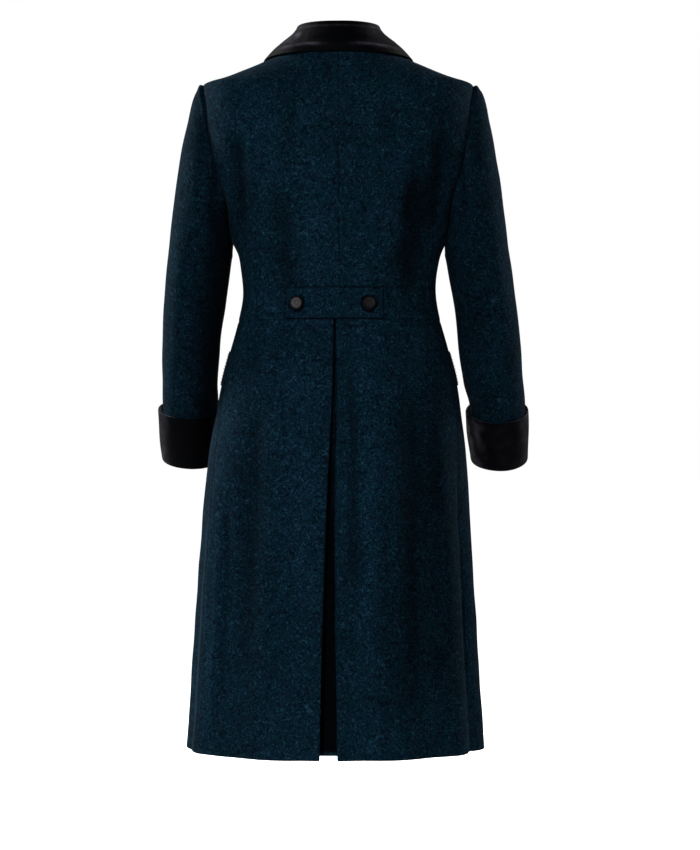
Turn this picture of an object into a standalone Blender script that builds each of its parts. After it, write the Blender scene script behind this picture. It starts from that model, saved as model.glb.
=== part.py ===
"""A long wool overcoat with a velvet collar and turn-back cuffs, filled out as worn, with no wearer.

Metres. +Z is up, +Y is the wearer's forward, +X is the wearer's right. The origin is the middle of
the neck seam, where the coat hangs on the shoulders. Every piece is one that is cut and sewn on.
"""

import math

import bmesh
import bpy
import numpy as np

# Cloth and seams
WOOL = 0.0025
VELVET = 0.0030
SEAM_GAP = 0.0003
LAYER_GAP = 0.0005

# Levels, down from the neck seam
ARMPIT = -0.280
SHOULDER_TIP = -0.060
WAIST_SEAM = -0.460
CHEST = -0.150
HEM = -1.179

# Horizontal sections of the body, each a superellipse:
# height, half width, depth of the back, depth of the front, fullness (2 is an ellipse), middle
FORM = (
    (-1.200, 0.2530, 0.1790, 0.1720, 2.20, -0.0060),
    (-1.017, 0.2410, 0.1690, 0.1630, 2.20, -0.0060),
    (-0.864, 0.2315, 0.1590, 0.1550, 2.20, -0.0050),
    (-0.711, 0.2205, 0.1490, 0.1460, 2.20, -0.0025),
    (-0.635, 0.2110, 0.1430, 0.1400, 2.20, 0.0000),
    (-0.558, 0.1980, 0.1350, 0.1330, 2.20, 0.0015),
    (-0.507, 0.1850, 0.1270, 0.1280, 2.20, 0.0015),
    (-0.456, 0.1705, 0.1180, 0.1240, 2.20, 0.0015),
    (-0.405, 0.1635, 0.1120, 0.1220, 2.20, 0.0015),
    (-0.354, 0.1695, 0.1195, 0.1240, 2.38, 0.0015),
    (-0.310, 0.1800, 0.1245, 0.1270, 2.45, 0.0012),
    (-0.280, 0.1880, 0.1270, 0.1280, 2.50, 0.0010),
    (-0.250, 0.1970, 0.1280, 0.1260, 2.55, 0.0008),
    (-0.210, 0.2120, 0.1280, 0.1200, 2.60, 0.0005),
    (-0.170, 0.2240, 0.1250, 0.1120, 2.60, 0.0002),
    (-0.130, 0.2300, 0.1190, 0.1010, 2.60, 0.0000),
    (-0.100, 0.2310, 0.1120, 0.0900, 2.60, 0.0000),
    (-0.080, 0.2310, 0.1060, 0.0820, 2.60, 0.0000),
    (-0.060, 0.2275, 0.0990, 0.0740, 2.55, 0.0000),
    (-0.050, 0.1985, 0.0950, 0.0700, 2.50, 0.0000),
    (-0.035, 0.1600, 0.0890, 0.0650, 2.40, 0.0000),
    (-0.020, 0.1250, 0.0820, 0.0620, 2.30, 0.0000),
    (0.000, 0.0800, 0.0720, 0.0580, 2.20, 0.0000),
    (0.010, 0.0580, 0.0670, 0.0560, 2.20, 0.0000),
)

# Side seams: height, degrees from the centre back
SIDE_SEAM = (
    (-1.200, 63.0),
    (-0.860, 64.5),
    (-0.640, 70.0),
    (-0.460, 79.0),
    (-0.280, 90.0),
    (0.000, 90.0),
)

# Soft folds of the skirt: middle in degrees from the centre back towards the wearer's right,
# half width in degrees, how far it stands out, level where it starts
FOLDS = (
    (8, 5, -0.003, -0.465),
    (22, 8, 0.005, -0.465),
    (38, 8, -0.004, -0.500),
    (53, 7, 0.006, -0.560),
    (66, 4, -0.007, -0.600),
    (78, 7, 0.004, -0.640),
    (-9, 5, -0.002, -0.465),
    (-22, 8, 0.004, -0.465),
    (-40, 8, -0.003, -0.520),
    (-62, 7, 0.005, -0.600),
    (-74, 5, -0.004, -0.640),
    (112, 10, 0.005, -0.520),
    (130, 8, -0.004, -0.560),
    (150, 9, 0.004, -0.560),
    (-112, 10, 0.005, -0.520),
    (-130, 8, -0.004, -0.560),
    (-150, 9, 0.004, -0.560),
)
FOLD_GROWTH = 0.350

# Armhole: how far it cuts into the back and the front, in degrees of the section
ARMHOLE_BACK = 20.0
ARMHOLE_FRONT = 30.0
ARMHOLE_ROUND = 0.40

# Front edge, roll line and closing
FRONT_EDGE = 0.030
BREAK = -0.325
NECK_FRONT = 0.070
LAPEL_TOP = -0.045
# The left front stands out where it laps over the right one, and more where the lapels fold
OVERLAP_LIFT = WOOL + 0.0012
OVERLAP_FROM, OVERLAP_WIDTH = -0.125, 0.060
OVERLAP_END, OVERLAP_FADE = -0.215, 0.100
BREAK_LIFT = 0.0036
BREAK_FROM, BREAK_WIDTH = -0.105, 0.045
BREAK_BOTTOM, BREAK_RISE = -0.375, 0.045

# Lapel outline on the front, as distance from the centre front and height
GORGE_END = (0.102, -0.078)
LAPEL_TIP = (0.147, -0.110)
LAPEL_BELLY = (0.105, -0.215)
LAPEL_ROLL = 0.0031
LAPEL_ROLL_GAP = 2 * (LAPEL_ROLL - WOOL)
LAPEL_EDGE_GAP = 0.0008
# The gorge ends at this share of the lapel's top edge, and bends the rows near that edge
GORGE_SHARE = 0.6
GORGE_GAP = 0.0006
GORGE_CURVE = 6
LAPEL_START = 0.04

# Collar
COLLAR_HEIGHT = 0.0428
COLLAR_LEAN = 0.38
COLLAR_SEAT = 0.0002
COLLAR_GAP = 0.0009
COLLAR_FALLS_FROM = 0.45
COLLAR_ROLL = 0.0045
COLLAR_END_HEIGHT = 0.0046
COLLAR_END_ROLL = 0.0036
COLLAR_CORNER = (0.145, -0.070)
# The leaf's edge on the body: share of the way to its corner, angle, height. It also crosses the
# shoulder, at a share of the way and a distance from the centre
COLLAR_EDGE = (
    (0.00, 0.00, -0.0155),
    (0.28, 0.62, -0.0170),
    (0.78, 2.27, -0.0360),
)
COLLAR_SHOULDER = (0.56, 0.126)
# The leaf falls from the roll to its edge: lengths of the curve's two handles as shares of the way,
# and how far the first leans out
COLLAR_FALL = (0.30, 0.45)
COLLAR_FALL_OUT = 0.05
# How far the second handle leans out, by share of the way to the corner, and how far it goes up
COLLAR_FALL_END = (
    (0.00, 0.6),
    (0.25, -0.2),
    (0.56, -0.6),
)
COLLAR_FALL_UP = 0.8
# The leaf's share that settles on the fronts, behind and at the gorge, and where it meets the gorge
COLLAR_SETTLE = (0.4, 0.1)
COLLAR_GORGE_FROM = 0.65

# Centre back pleat, from the waist seam to the hem
PLEAT_WAIST = 0.0012
PLEAT_HEM = 0.0147
PLEAT_MIDDLE_WAIST = -0.0065
PLEAT_MIDDLE_HEM = -0.0095
PLEAT_ROLL = 0.0040
PLEAT_RETURN = 0.040
PLEAT_RETURN_SHARES = (1.0, 0.7, 0.4)
UNDERLAY_LAP = 0.004
UNDERLAY_WAIST_DEPTH = 0.0085
UNDERLAY_HEM_DEPTH = 0.0260
UNDERLAY_SHORTER = 0.006

# Sleeve: the arm's centre line and half sizes.
# height, distance from the centre, forward, half width, half depth
ARM = (
    (-0.340, 0.2350, 0.0020, 0.0540, 0.0660),
    (-0.380, 0.2405, 0.0040, 0.0538, 0.0645),
    (-0.420, 0.2463, 0.0090, 0.0530, 0.0630),
    (-0.460, 0.2517, 0.0180, 0.0520, 0.0615),
    (-0.500, 0.2562, 0.0320, 0.0511, 0.0600),
    (-0.550, 0.2610, 0.0520, 0.0498, 0.0585),
    (-0.600, 0.2660, 0.0730, 0.0482, 0.0570),
    (-0.650, 0.2680, 0.0940, 0.0469, 0.0560),
    (-0.700, 0.2700, 0.1150, 0.0456, 0.0550),
)
SLEEVE_END = -0.6890
ARM_STEP = 0.002
# How far each arm swings to the wearer's right, towards the sleeve's end
ARM_SWING = 0.013
SWING_FROM = -0.330
SWING_CURVE = 1.3
# Handles of the sleeve head, for the top, back, underarm and front: out, forward, up
HEAD_HANDLES = (
    (0.024, 0.000, 0.006),
    (0.018, -0.014, -0.035),
    (0.001, 0.000, -0.020),
    (0.020, 0.014, -0.035),
)
ARM_HANDLES = (
    (-0.014, 0.000, 0.130),
    (-0.010, 0.000, 0.070),
    (0.004, 0.000, 0.025),
    (-0.010, 0.000, 0.070),
)
# The two seams of a sleeve, as lines counted from its outer side round the back
BACK_ARM_LINE = 6
FRONT_ARM_LINE = 14
SLEEVE_HEAD_SHARES = (0, 0.07, 0.2, 0.36, 0.52, 0.68, 0.84)
SLEEVE_LEVELS = (-0.340, -0.400, -0.460, -0.515, -0.565, -0.609, -0.648, SLEEVE_END)

# Turn-back cuff
CUFF_TOP = -0.6090
CUFF_MIDDLE = -0.6480
CUFF_BOTTOM = -0.6925
CUFF_FLARE = 0.0016
CUFF_GAP = 0.0005
CUFF_ROUND = (0.0012, 0.0015)

# Half belt and its buttons, as distances from the section's middle
BELT_LEFT = -0.0879
BELT_RIGHT = 0.0725
BELT_TOP = -0.408
BELT_BOTTOM = WAIST_SEAM + 0.0005
BELT_BUTTONS = {"left": -0.0688, "right": 0.0486}
BELT_BUTTON_Z = -0.435
BELT_BUTTON = 0.0112

# A button's profile: share of its radius, height off the cloth
BUTTON_PROFILE = (
    (0.00, 0.0000),
    (0.18, 0.0000),
    (0.18, 0.0022),
    (0.86, 0.0022),
    (1.00, 0.0034),
    (0.96, 0.0052),
    (0.80, 0.0056),
    (0.66, 0.0044),
    (0.00, 0.0042),
)

# Front buttons
FRONT_BUTTON = 0.0140
FRONT_BUTTON_Z = (-0.345, -0.435, -0.530)

# Pocket flaps, in degrees from the centre back
FLAP_FROM, FLAP_TO = 88.0, 126.0
FLAP_TOP, FLAP_BOTTOM = -0.510, -0.568

# How finely the panels are divided
BODICE_COLUMNS = 13
SKIRT_COLUMNS = 11
UNDERLAY_COLUMNS = 9
ARMHOLE_ROWS = 10
SKIRT_ROWS = 12
LAPEL_ROWS, LAPEL_COLUMNS = 11, 6
NECK_COLUMNS, COLLAR_FRONT_COLUMNS, LEAF_COLUMNS = 11, 4, 6
BELT_ROWS, CHEST_ROWS, SHOULDER_ROWS = 5, 5, 6
BELT_PANEL_LINES = range(-4, 4)
FLAP_ROWS, FLAP_COLUMNS = 4, 8
BUTTON_SIDES = 16
ROLL_TURNS = np.linspace(math.pi, 0, 5)[:-1]
COLLAR_TURNS = np.radians((135, 90, 45))
SHARP_EDGE = 40

# Name: base colour, roughness, metallic
MATERIALS = {
    "wool": ((0.020, 0.055, 0.075), 0.90, 0.0),
    "velvet": ((0.008, 0.008, 0.012), 0.75, 0.0),
    "button": ((0.110, 0.100, 0.098), 0.35, 0.0),
}


# Curves and sections

def unit(vectors):
    return vectors / np.linalg.norm(vectors, axis=-1, keepdims=True)


def smoothstep(share):
    share = np.clip(share, 0.0, 1.0)
    return share * share * (3 - 2 * share)


def along_rows(rows, height):
    """The columns of a table of sections at these heights, on curves that don't overshoot its rows."""
    table = np.array(sorted(rows))
    knots, values = table[:, 0], table[:, 1:]
    rise = np.diff(values, axis=0) / np.diff(knots)[:, None]
    product = rise[1:] * rise[:-1]
    total = np.where(product > 0, rise[1:] + rise[:-1], 1.0)
    inner = np.where(product > 0, 2 * product / total, 0.0)
    slope = np.vstack([rise[:1], inner, rise[-1:]])
    height = np.asarray(height, float)
    i = np.clip(np.searchsorted(knots, height) - 1, 0, len(knots) - 2)
    step = (knots[i + 1] - knots[i])[..., None]
    t = (height[..., None] - knots[i][..., None]) / step
    return (
        (2 * t**3 - 3 * t**2 + 1) * values[i]
        + (t**3 - 2 * t**2 + t) * step * slope[i]
        + (3 * t**2 - 2 * t**3) * values[i + 1]
        + (t**3 - t**2) * step * slope[i + 1]
    )


def drape(angle, height):
    """How far the skirt's soft folds stand out of its plain section."""
    out = np.zeros(np.broadcast(angle, height).shape)
    for middle, half_width, depth, start in FOLDS:
        turn = np.remainder(np.degrees(angle) - middle + 180, 360) - 180
        grown = smoothstep((start - height) / FOLD_GROWTH)
        out = out + depth * grown * np.exp(-((turn / half_width) ** 2))
    return out


def body(angle, height):
    """Points of the coat's outer surface. Angle 0 is the centre back, and it grows towards +X."""
    angle, height = np.broadcast_arrays(np.asarray(angle, float), np.asarray(height, float))
    half, back, front, fullness, middle = np.moveaxis(along_rows(FORM, height), -1, 0)
    power = 2 / fullness
    across = np.sign(np.sin(angle)) * np.abs(np.sin(angle)) ** power
    along = -np.sign(np.cos(angle)) * np.abs(np.cos(angle)) ** power
    depth = np.where(np.cos(angle) > 0, back, front)
    out = unit(np.stack([across / half, along / depth], axis=-1)) * drape(angle, height)[..., None]
    x = middle + half * across + out[..., 0]
    return np.stack([x, depth * along + out[..., 1], height], axis=-1)


def body_normal(angle, height):
    step = 1e-4
    around = body(angle + step, height) - body(angle - step, height)
    upward = body(angle, height + step) - body(angle, height - step)
    return unit(np.cross(around, upward))


def half_and_fullness(height):
    sections = along_rows(FORM, height)
    return sections[..., 0], sections[..., 3]


def angle_at(x, height):
    """The angle of the point of the back's section that is x from the section's middle."""
    half, fullness = half_and_fullness(height)
    share = np.clip(np.abs(x) / half, 0.0, 1.0) ** (fullness / 2)
    return np.sign(x) * np.arcsin(share)


def front_angle(x, height, side):
    """As angle_at on the front, for a panel of this side that may run past the centre front."""
    half, fullness = half_and_fullness(height)
    share = np.clip(x * side / half, -1.0, 1.0)
    turn = np.sign(share) * np.arcsin(np.abs(share) ** (fullness / 2))
    return side * (math.pi - turn)


def overlap_lift(x, height):
    """How far the left front stands out, where it laps over the right front and its lapel."""
    lap = OVERLAP_LIFT * smoothstep((x - OVERLAP_FROM) / OVERLAP_WIDTH)
    bulk = BREAK_LIFT * smoothstep((x - BREAK_FROM) / BREAK_WIDTH)
    bulk = bulk * smoothstep((height - BREAK_BOTTOM) / BREAK_RISE)
    return (lap + bulk) * (1 - smoothstep((height - OVERLAP_END) / OVERLAP_FADE))


# Solids

def material(name):
    found = bpy.data.materials.get(name)
    if found:
        return found
    colour, roughness, metallic = MATERIALS[name]
    made = bpy.data.materials.new(name)
    made.use_nodes = True
    shader = made.node_tree.nodes["Principled BSDF"]
    shader.inputs["Base Color"].default_value = (*colour, 1)
    shader.inputs["Roughness"].default_value = roughness
    shader.inputs["Metallic"].default_value = metallic
    return made


def solid(name, points, faces, finish):
    """A named object from points and faces, its faces turned outwards and its round faces smooth."""
    work = bmesh.new()
    corners = [work.verts.new(p) for p in points]
    for face in faces:
        work.faces.new([corners[i] for i in face])
    bmesh.ops.recalc_face_normals(work, faces=work.faces)
    mesh = bpy.data.meshes.new(name)
    work.to_mesh(mesh)
    work.free()
    mesh.shade_smooth()
    mesh.set_sharp_from_angle(angle=math.radians(SHARP_EDGE))
    mesh.materials.append(material(finish))
    made = bpy.data.objects.new(name, mesh)
    bpy.context.scene.collection.objects.link(made)
    return made


def grid_faces(rows, columns, start=0, wrap=False):
    faces = []
    for i in range(rows - 1):
        for j in range(columns if wrap else columns - 1):
            k = (j + 1) % columns
            corners = (i * columns + j, i * columns + k, (i + 1) * columns + k, (i + 1) * columns + j)
            faces.append([start + c for c in corners])
    return faces


def grid_normals(points, wrap=False):
    """Normals of a grid of points, on the side that columns crossed with rows point to."""
    if wrap:
        around = np.roll(points, -1, axis=1) - np.roll(points, 1, axis=1)
    else:
        around = np.gradient(points, axis=1)
    return unit(np.cross(around, np.gradient(points, axis=0)))


def wall(name, outer, normals, thickness, finish, wrap=False):
    """A cloth wall between a grid of outer points and the same points moved in."""
    rows, columns = outer.shape[:2]
    count = rows * columns
    points = np.concatenate([outer.reshape(-1, 3), (outer - thickness * normals).reshape(-1, 3)])
    faces = grid_faces(rows, columns, 0, wrap) + grid_faces(rows, columns, count, wrap)
    rims = [[i * columns + j for j in range(columns)] for i in (0, rows - 1)]
    if wrap:
        rims = [rim + rim[:1] for rim in rims]
    else:
        rims += [[i * columns + j for i in range(rows)] for j in (0, columns - 1)]
    for rim in rims:
        faces += [[a, b, b + count, a + count] for a, b in zip(rim, rim[1:])]
    return solid(name, points, faces, finish)


def seam_inset(points, bottom=True, top=True, first=True, last=True):
    """Draws the sewn edges of a grid in by half the seam gap."""
    drawn = points.copy()
    half = SEAM_GAP / 2
    if bottom:
        drawn[0] += half * unit(points[1] - points[0])
    if top:
        drawn[-1] += half * unit(points[-2] - points[-1])
    if first:
        drawn[:, 0] += half * unit(points[:, 1] - points[:, 0])
    if last:
        drawn[:, -1] += half * unit(points[:, -2] - points[:, -1])
    return drawn


def spread(first, last, count):
    """Rows of angles from first to last, one row for each pair."""
    share = np.linspace(0, 1, count)
    return first[:, None] + (last - first)[:, None] * share


def form_panel(angles, heights, lift=0.0, **edges):
    """Outer points and normals of a panel that lies on the body, from its angles and heights."""
    heights = np.broadcast_to(heights, angles.shape)
    normals = body_normal(angles, heights)
    points = body(angles, heights) + np.asarray(lift)[..., None] * normals
    return seam_inset(points, **edges), normals


# Bodice

def armhole_heights():
    turn = np.linspace(0, math.pi, ARMHOLE_ROWS + 1)
    return ARMPIT + (SHOULDER_TIP - ARMPIT) * (1 - np.cos(turn)) / 2


def armhole_cut(height):
    """The share of the full armhole cut at a height, from 0 at its ends to 1."""
    share = np.clip((height - ARMPIT) / (SHOULDER_TIP - ARMPIT), 0.0, 1.0)
    return (4 * share * (1 - share)) ** ARMHOLE_ROUND


def side_seam(height):
    return np.radians(along_rows(SIDE_SEAM, height)[..., 0])


def bodice_heights():
    belt = np.linspace(WAIST_SEAM, BELT_TOP, BELT_ROWS)[:-1]
    below = np.concatenate([belt, np.linspace(BELT_TOP, ARMPIT, CHEST_ROWS)[:-1]])
    above = np.linspace(SHOULDER_TIP, 0.0, SHOULDER_ROWS)[1:]
    return np.concatenate([below, armhole_heights(), above])


def front_edge(height):
    """Distance past the centre front of a front's edge: straight, then along the roll line."""
    share = np.clip((height - BREAK) / -BREAK, 0.0, 1.0)
    return FRONT_EDGE - (FRONT_EDGE + NECK_FRONT) * share


def bodice_back(name, side):
    heights = bodice_heights()
    outer = side_seam(heights) - math.radians(ARMHOLE_BACK) * armhole_cut(heights)
    angles = side * spread(np.zeros_like(heights), outer, BODICE_COLUMNS)
    points, normals = form_panel(angles, heights[:, None])
    wall(name, points, normals, WOOL, "wool")


def bodice_front(name, side):
    heights = bodice_heights()
    outer = side * (side_seam(heights) + math.radians(ARMHOLE_FRONT) * armhole_cut(heights))
    inner = front_angle(-side * front_edge(heights), heights, side)
    angles = spread(outer, inner, BODICE_COLUMNS)
    lift = front_lift(angles, heights[:, None], side)
    points, normals = form_panel(angles, heights[:, None], lift, last=False)
    wall(name, points, normals, WOOL, "wool")


def front_lift(angles, heights, side):
    heights = np.broadcast_to(heights, angles.shape)
    if side > 0:
        return np.zeros(angles.shape)
    return overlap_lift(body(angles, heights)[..., 0], heights)


# Skirt

def skirt_heights(hem=HEM):
    return WAIST_SEAM + (hem - WAIST_SEAM) * np.linspace(0, 1, SKIRT_ROWS + 1)[::-1]


def down_from_waist(at_waist, at_hem, height):
    """A size that grows evenly from the waist seam to the hem."""
    return at_waist + (at_hem - at_waist) * (WAIST_SEAM - height) / (WAIST_SEAM - HEM)


def pleat_place(height):
    """The pleat's middle, and how far from it the folded edges curve back."""
    middle = down_from_waist(PLEAT_MIDDLE_WAIST, PLEAT_MIDDLE_HEM, height)
    return middle, down_from_waist(PLEAT_WAIST, PLEAT_HEM, height) + PLEAT_ROLL


def underlay_depth(height):
    return down_from_waist(UNDERLAY_WAIST_DEPTH, UNDERLAY_HEM_DEPTH, height)


def skirt_back(name, side):
    """A back panel of the skirt, folded in at the pleat and turned back under itself."""
    heights = skirt_heights()
    middle, fold = pleat_place(heights)
    start = angle_at(middle + side * fold, heights)
    angles = spread(start, side * side_seam(heights), SKIRT_COLUMNS)
    points, normals = form_panel(angles, heights[:, None], first=False)

    base, inward = body(start, heights), -body_normal(start, heights)
    centrewards = unit(np.cross(inward, [0, 0, -side]))
    columns, facing = [], []
    for share in PLEAT_RETURN_SHARES:
        angle = angle_at(middle + side * (fold + PLEAT_RETURN * share), heights)
        depth = 2 * PLEAT_ROLL + (underlay_depth(heights) - 2 * PLEAT_ROLL) * share
        facing.append(-body_normal(angle, heights))
        columns.append(body(angle, heights) + depth[:, None] * facing[-1])
    for turn in ROLL_TURNS:
        deep, across = PLEAT_ROLL * (1 - math.cos(turn)), PLEAT_ROLL * math.sin(turn)
        columns.append(base + deep * inward + across * centrewards)
        facing.append(unit(-math.cos(turn) * inward + math.sin(turn) * centrewards))
    points = np.concatenate([np.stack(columns, axis=1), points], axis=1)
    normals = np.concatenate([np.stack(facing, axis=1), normals], axis=1)
    points[-1, : len(columns)] -= [0, 0, SEAM_GAP / 2]
    wall(name, points, normals, WOOL, "wool")


def skirt_front(name, side):
    heights = skirt_heights()
    inner = front_angle(np.full_like(heights, -side * FRONT_EDGE), heights, side)
    angles = spread(side * side_seam(heights), inner, SKIRT_COLUMNS + 2)
    lift = front_lift(angles, heights[:, None], side)
    points, normals = form_panel(angles, heights[:, None], lift, last=False)
    wall(name, points, normals, WOOL, "wool")


def pleat_underlay(name):
    heights = skirt_heights(HEM + UNDERLAY_SHORTER)
    middle, fold = pleat_place(heights)
    reach = fold + PLEAT_RETURN + UNDERLAY_LAP
    ends = angle_at(middle - reach, heights), angle_at(middle + reach, heights)
    angles = spread(*ends, UNDERLAY_COLUMNS)
    lift = -(underlay_depth(heights) + LAYER_GAP)[:, None]
    points, normals = form_panel(angles, heights[:, None], np.broadcast_to(lift, angles.shape))
    wall(name, points, normals, WOOL, "wool")


# Lapels

def lapel_outline(count):
    """Roll line and outer edge of a lapel, from the break up, each as distance and height."""
    share = np.linspace(LAPEL_START, 1, count)
    height = BREAK + (LAPEL_TOP - BREAK) * share
    roll = np.stack([-front_edge(height), height], axis=-1)
    low = np.array([-front_edge(BREAK), BREAK])
    belly, tip = np.array(LAPEL_BELLY), np.array(LAPEL_TIP)
    t = share[:, None]
    edge = (1 - t) ** 2 * low + 2 * t * (1 - t) * belly + t**2 * tip
    return roll, edge


def lapel(name, side):
    """A lapel turned back along the roll line, its point clear of the collar at the notch."""
    roll, edge = lapel_outline(LAPEL_ROWS)
    across = np.linspace(0, 1, LAPEL_COLUMNS)[:, None]
    flat = roll[:, None] + (edge - roll)[:, None] * across
    top = through_gorge(roll[-1], edge[-1], across[:, 0])
    pull = (np.linspace(0, 1, LAPEL_ROWS) ** GORGE_CURVE)[:, None, None]
    flat = flat + pull * (top - flat[-1])
    heights = flat[..., 1]
    angles = front_angle(side * flat[..., 0], heights, side)
    normals = body_normal(angles, heights)
    base = front_lift(angles, heights, side)
    settle = LAPEL_ROLL_GAP + (LAPEL_EDGE_GAP - LAPEL_ROLL_GAP) * across[:, 0]
    points = body(angles, heights) + (base + WOOL + settle)[..., None] * normals

    edge_normal = normals[:, 0]
    along_roll = np.gradient(points[:, 0], axis=0)
    off_edge = unit(np.cross(along_roll, edge_normal)) * side
    centre = points[:, 0] - LAPEL_ROLL * edge_normal
    columns, facing = [], []
    for turn in ROLL_TURNS:
        direction = math.cos(turn) * edge_normal + math.sin(turn) * off_edge
        columns.append(centre + LAPEL_ROLL * direction)
        facing.append(direction)
    gap = SEAM_GAP * off_edge
    points = np.concatenate([np.stack(columns, axis=1), points], axis=1) + gap[:, None]
    points[-1] += GORGE_GAP * unit(points[-2] - points[-1])
    normals = np.concatenate([np.stack(facing, axis=1), normals], axis=1)
    wall(name, points, normals, WOOL, "wool")


# Collar

def neck_line(count):
    """Angles and heights of the neck seam, from the centre back to the lapel."""
    level_end = float(front_angle(np.array(NECK_FRONT), np.array(0.0), 1))
    level = np.linspace(0, level_end, count)
    heights = np.linspace(0, LAPEL_TOP, COLLAR_FRONT_COLUMNS + 1)[1:]
    front = front_angle(-front_edge(heights), heights, 1)
    return np.concatenate([level, front]), np.concatenate([np.zeros(count), heights])


def bezier(points, t):
    a, b, c, d = points
    t = t[..., None]
    return (1 - t) ** 3 * a + 3 * t * (1 - t) ** 2 * b + 3 * t**2 * (1 - t) * c + t**3 * d


def collar_edge(share):
    """Where the leaf's edge lies on the body, as angle and height."""
    shoulder = [row for row in FORM if row[0] >= SHOULDER_TIP]
    crossed, reach = COLLAR_SHOULDER
    ridge = np.interp(-reach, [-row[1] for row in shoulder], [row[0] for row in shoulder])
    corner = float(front_angle(np.array(COLLAR_CORNER[0]), np.array(COLLAR_CORNER[1]), 1))
    rows = COLLAR_EDGE + ((crossed, math.pi / 2, ridge), (1.0, corner, COLLAR_CORNER[1]))
    return np.moveaxis(along_rows(rows, share), -1, 0)


def through_gorge(first, last, across):
    """Points from first to last by way of the gorge's end, as distance and height."""
    across = np.asarray(across)[:, None]
    gorge = np.array(GORGE_END)
    below = first + (gorge - first) * across / GORGE_SHARE
    above = gorge + (last - gorge) * (across - GORGE_SHARE) / (1 - GORGE_SHARE)
    return np.where(across <= GORGE_SHARE, below, above)


def collar_on_body(angles, heights, share, across):
    """The leaf where it lies on the fronts: its end runs along the gorge, then to its corner."""
    edge_angle, edge_height = collar_edge(share)
    angle = angles[:, None] + (edge_angle - angles)[:, None] * across
    height = heights[:, None] + (edge_height - heights)[:, None] * across
    end = through_gorge(np.array([-front_edge(LAPEL_TOP), LAPEL_TOP]), np.array(COLLAR_CORNER), across)
    pull = (np.clip((share - COLLAR_GORGE_FROM) / (1 - COLLAR_GORGE_FROM), 0, 1) ** 2)[:, None]
    angle = angle + pull * (front_angle(end[:, 0], end[:, 1], 1) - angle[-1])
    height = height + pull * (end[:, 1] - height[-1])
    lift = VELVET + COLLAR_GAP + (2 * COLLAR_END_ROLL - VELVET - COLLAR_GAP) * (1 - across) ** 3
    return body(angle, height) + lift[:, None] * body_normal(angle, height)


def collar(name):
    """Stand and fall in one, rolled over at the top: right half worked out, left half mirrored."""
    angles, heights = neck_line(NECK_COLUMNS)
    base, normal = body(angles, heights), body_normal(angles, heights)
    length = np.concatenate([[0], np.cumsum(np.linalg.norm(np.diff(base, axis=0), axis=1))])
    share = length / length[-1]
    fallen = smoothstep((share - COLLAR_FALLS_FROM) / (1 - COLLAR_FALLS_FROM))[:, None]

    outward = unit(body_normal(angles, np.full_like(heights, CHEST)) * [1, 1, 0])
    along = np.gradient(base, axis=0)
    along[0] = [1, 0, 0]
    off_edge = unit(np.cross(along, normal))
    off_edge *= np.sign(off_edge[:, 2:3])
    rise = unit((1 - fallen) * (np.array([0, 0, 1.0]) - COLLAR_LEAN * outward) + fallen * off_edge)
    over = (1 - fallen) * outward + fallen * normal
    over = unit(over - (over * rise).sum(axis=1, keepdims=True) * rise)

    height = COLLAR_HEIGHT + (COLLAR_END_HEIGHT - COLLAR_HEIGHT) * fallen
    roll = COLLAR_ROLL + (COLLAR_END_ROLL - COLLAR_ROLL) * fallen
    foot = base + (SEAM_GAP + COLLAR_SEAT) * rise - VELVET * over
    top = foot + (height - roll) * rise
    columns = [foot, (foot + top) / 2, top]
    centre = top + roll * over
    for turn in COLLAR_TURNS:
        columns.append(centre + roll * (math.cos(turn) * over + math.sin(turn) * rise))

    edge_angle, edge_height = collar_edge(share)
    edge_normal = body_normal(edge_angle, edge_height)
    edge = body(edge_angle, edge_height) + (VELVET + COLLAR_GAP) * edge_normal
    leave = centre + roll * over
    reach = np.linalg.norm(edge - leave, axis=1, keepdims=True)
    out = np.interp(share, *zip(*COLLAR_FALL_END))[:, None]
    start = leave + reach * COLLAR_FALL[0] * unit(over * COLLAR_FALL_OUT - rise)
    arrive = edge + reach * COLLAR_FALL[1] * unit(edge_normal * out + [0, 0, COLLAR_FALL_UP])
    across = np.linspace(0, 1, LEAF_COLUMNS)
    settle = COLLAR_SETTLE[0] + (COLLAR_SETTLE[1] - COLLAR_SETTLE[0]) * fallen
    lying = collar_on_body(angles, heights, share, across)
    for j, t in enumerate(across):
        hanging = bezier((leave, start, arrive, edge), np.full(len(base), t))
        weight = fallen * smoothstep(t / settle)
        columns.append(hanging + weight * (lying[:, j] - hanging))
    half = np.stack(columns, axis=1)
    half[-1] += SEAM_GAP / 2 * unit(half[-2] - half[-1])
    whole = np.concatenate([(half * [-1, 1, 1])[:0:-1], half], axis=0)
    wall(name, whole, grid_normals(whole), VELVET, "velvet")


# Sleeves and cuffs

def armhole_ring(side):
    """Points of the armhole's edge, from the shoulder tip down the back and up the front."""
    heights = armhole_heights()
    cut = armhole_cut(heights)
    back = side * (side_seam(heights) - math.radians(ARMHOLE_BACK) * cut)
    front = side * (side_seam(heights) + math.radians(ARMHOLE_FRONT) * cut)
    angles = np.concatenate([back[::-1], front[1:-1]])
    heights = np.concatenate([heights[::-1], heights[1:-1]])
    return body(angles, heights), body_normal(angles, heights)


def arm_ring(height, side, grow=0.0):
    """A ring round the arm, square to it, from its outer side round the back."""
    turns = np.linspace(0, 2 * math.pi, 2 * ARMHOLE_ROWS, endpoint=False)
    here, below = along_rows(ARM, np.array([height, height - ARM_STEP]))
    swing = ARM_SWING * (max(SWING_FROM - height, 0.0) / (SWING_FROM - SLEEVE_END)) ** SWING_CURVE
    centre = np.array([side * here[0] + swing, here[1], height])
    down = unit(np.array([side * (below[0] - here[0]), below[1] - here[1], -ARM_STEP]))
    outward = unit(np.array([side, 0, 0]) - side * down[0] * down)
    back = -side * unit(np.cross(outward, down))
    return (
        centre
        + (here[2] + grow) * np.cos(turns)[:, None] * outward
        + (here[3] + grow) * np.sin(turns)[:, None] * back
    )


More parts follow.
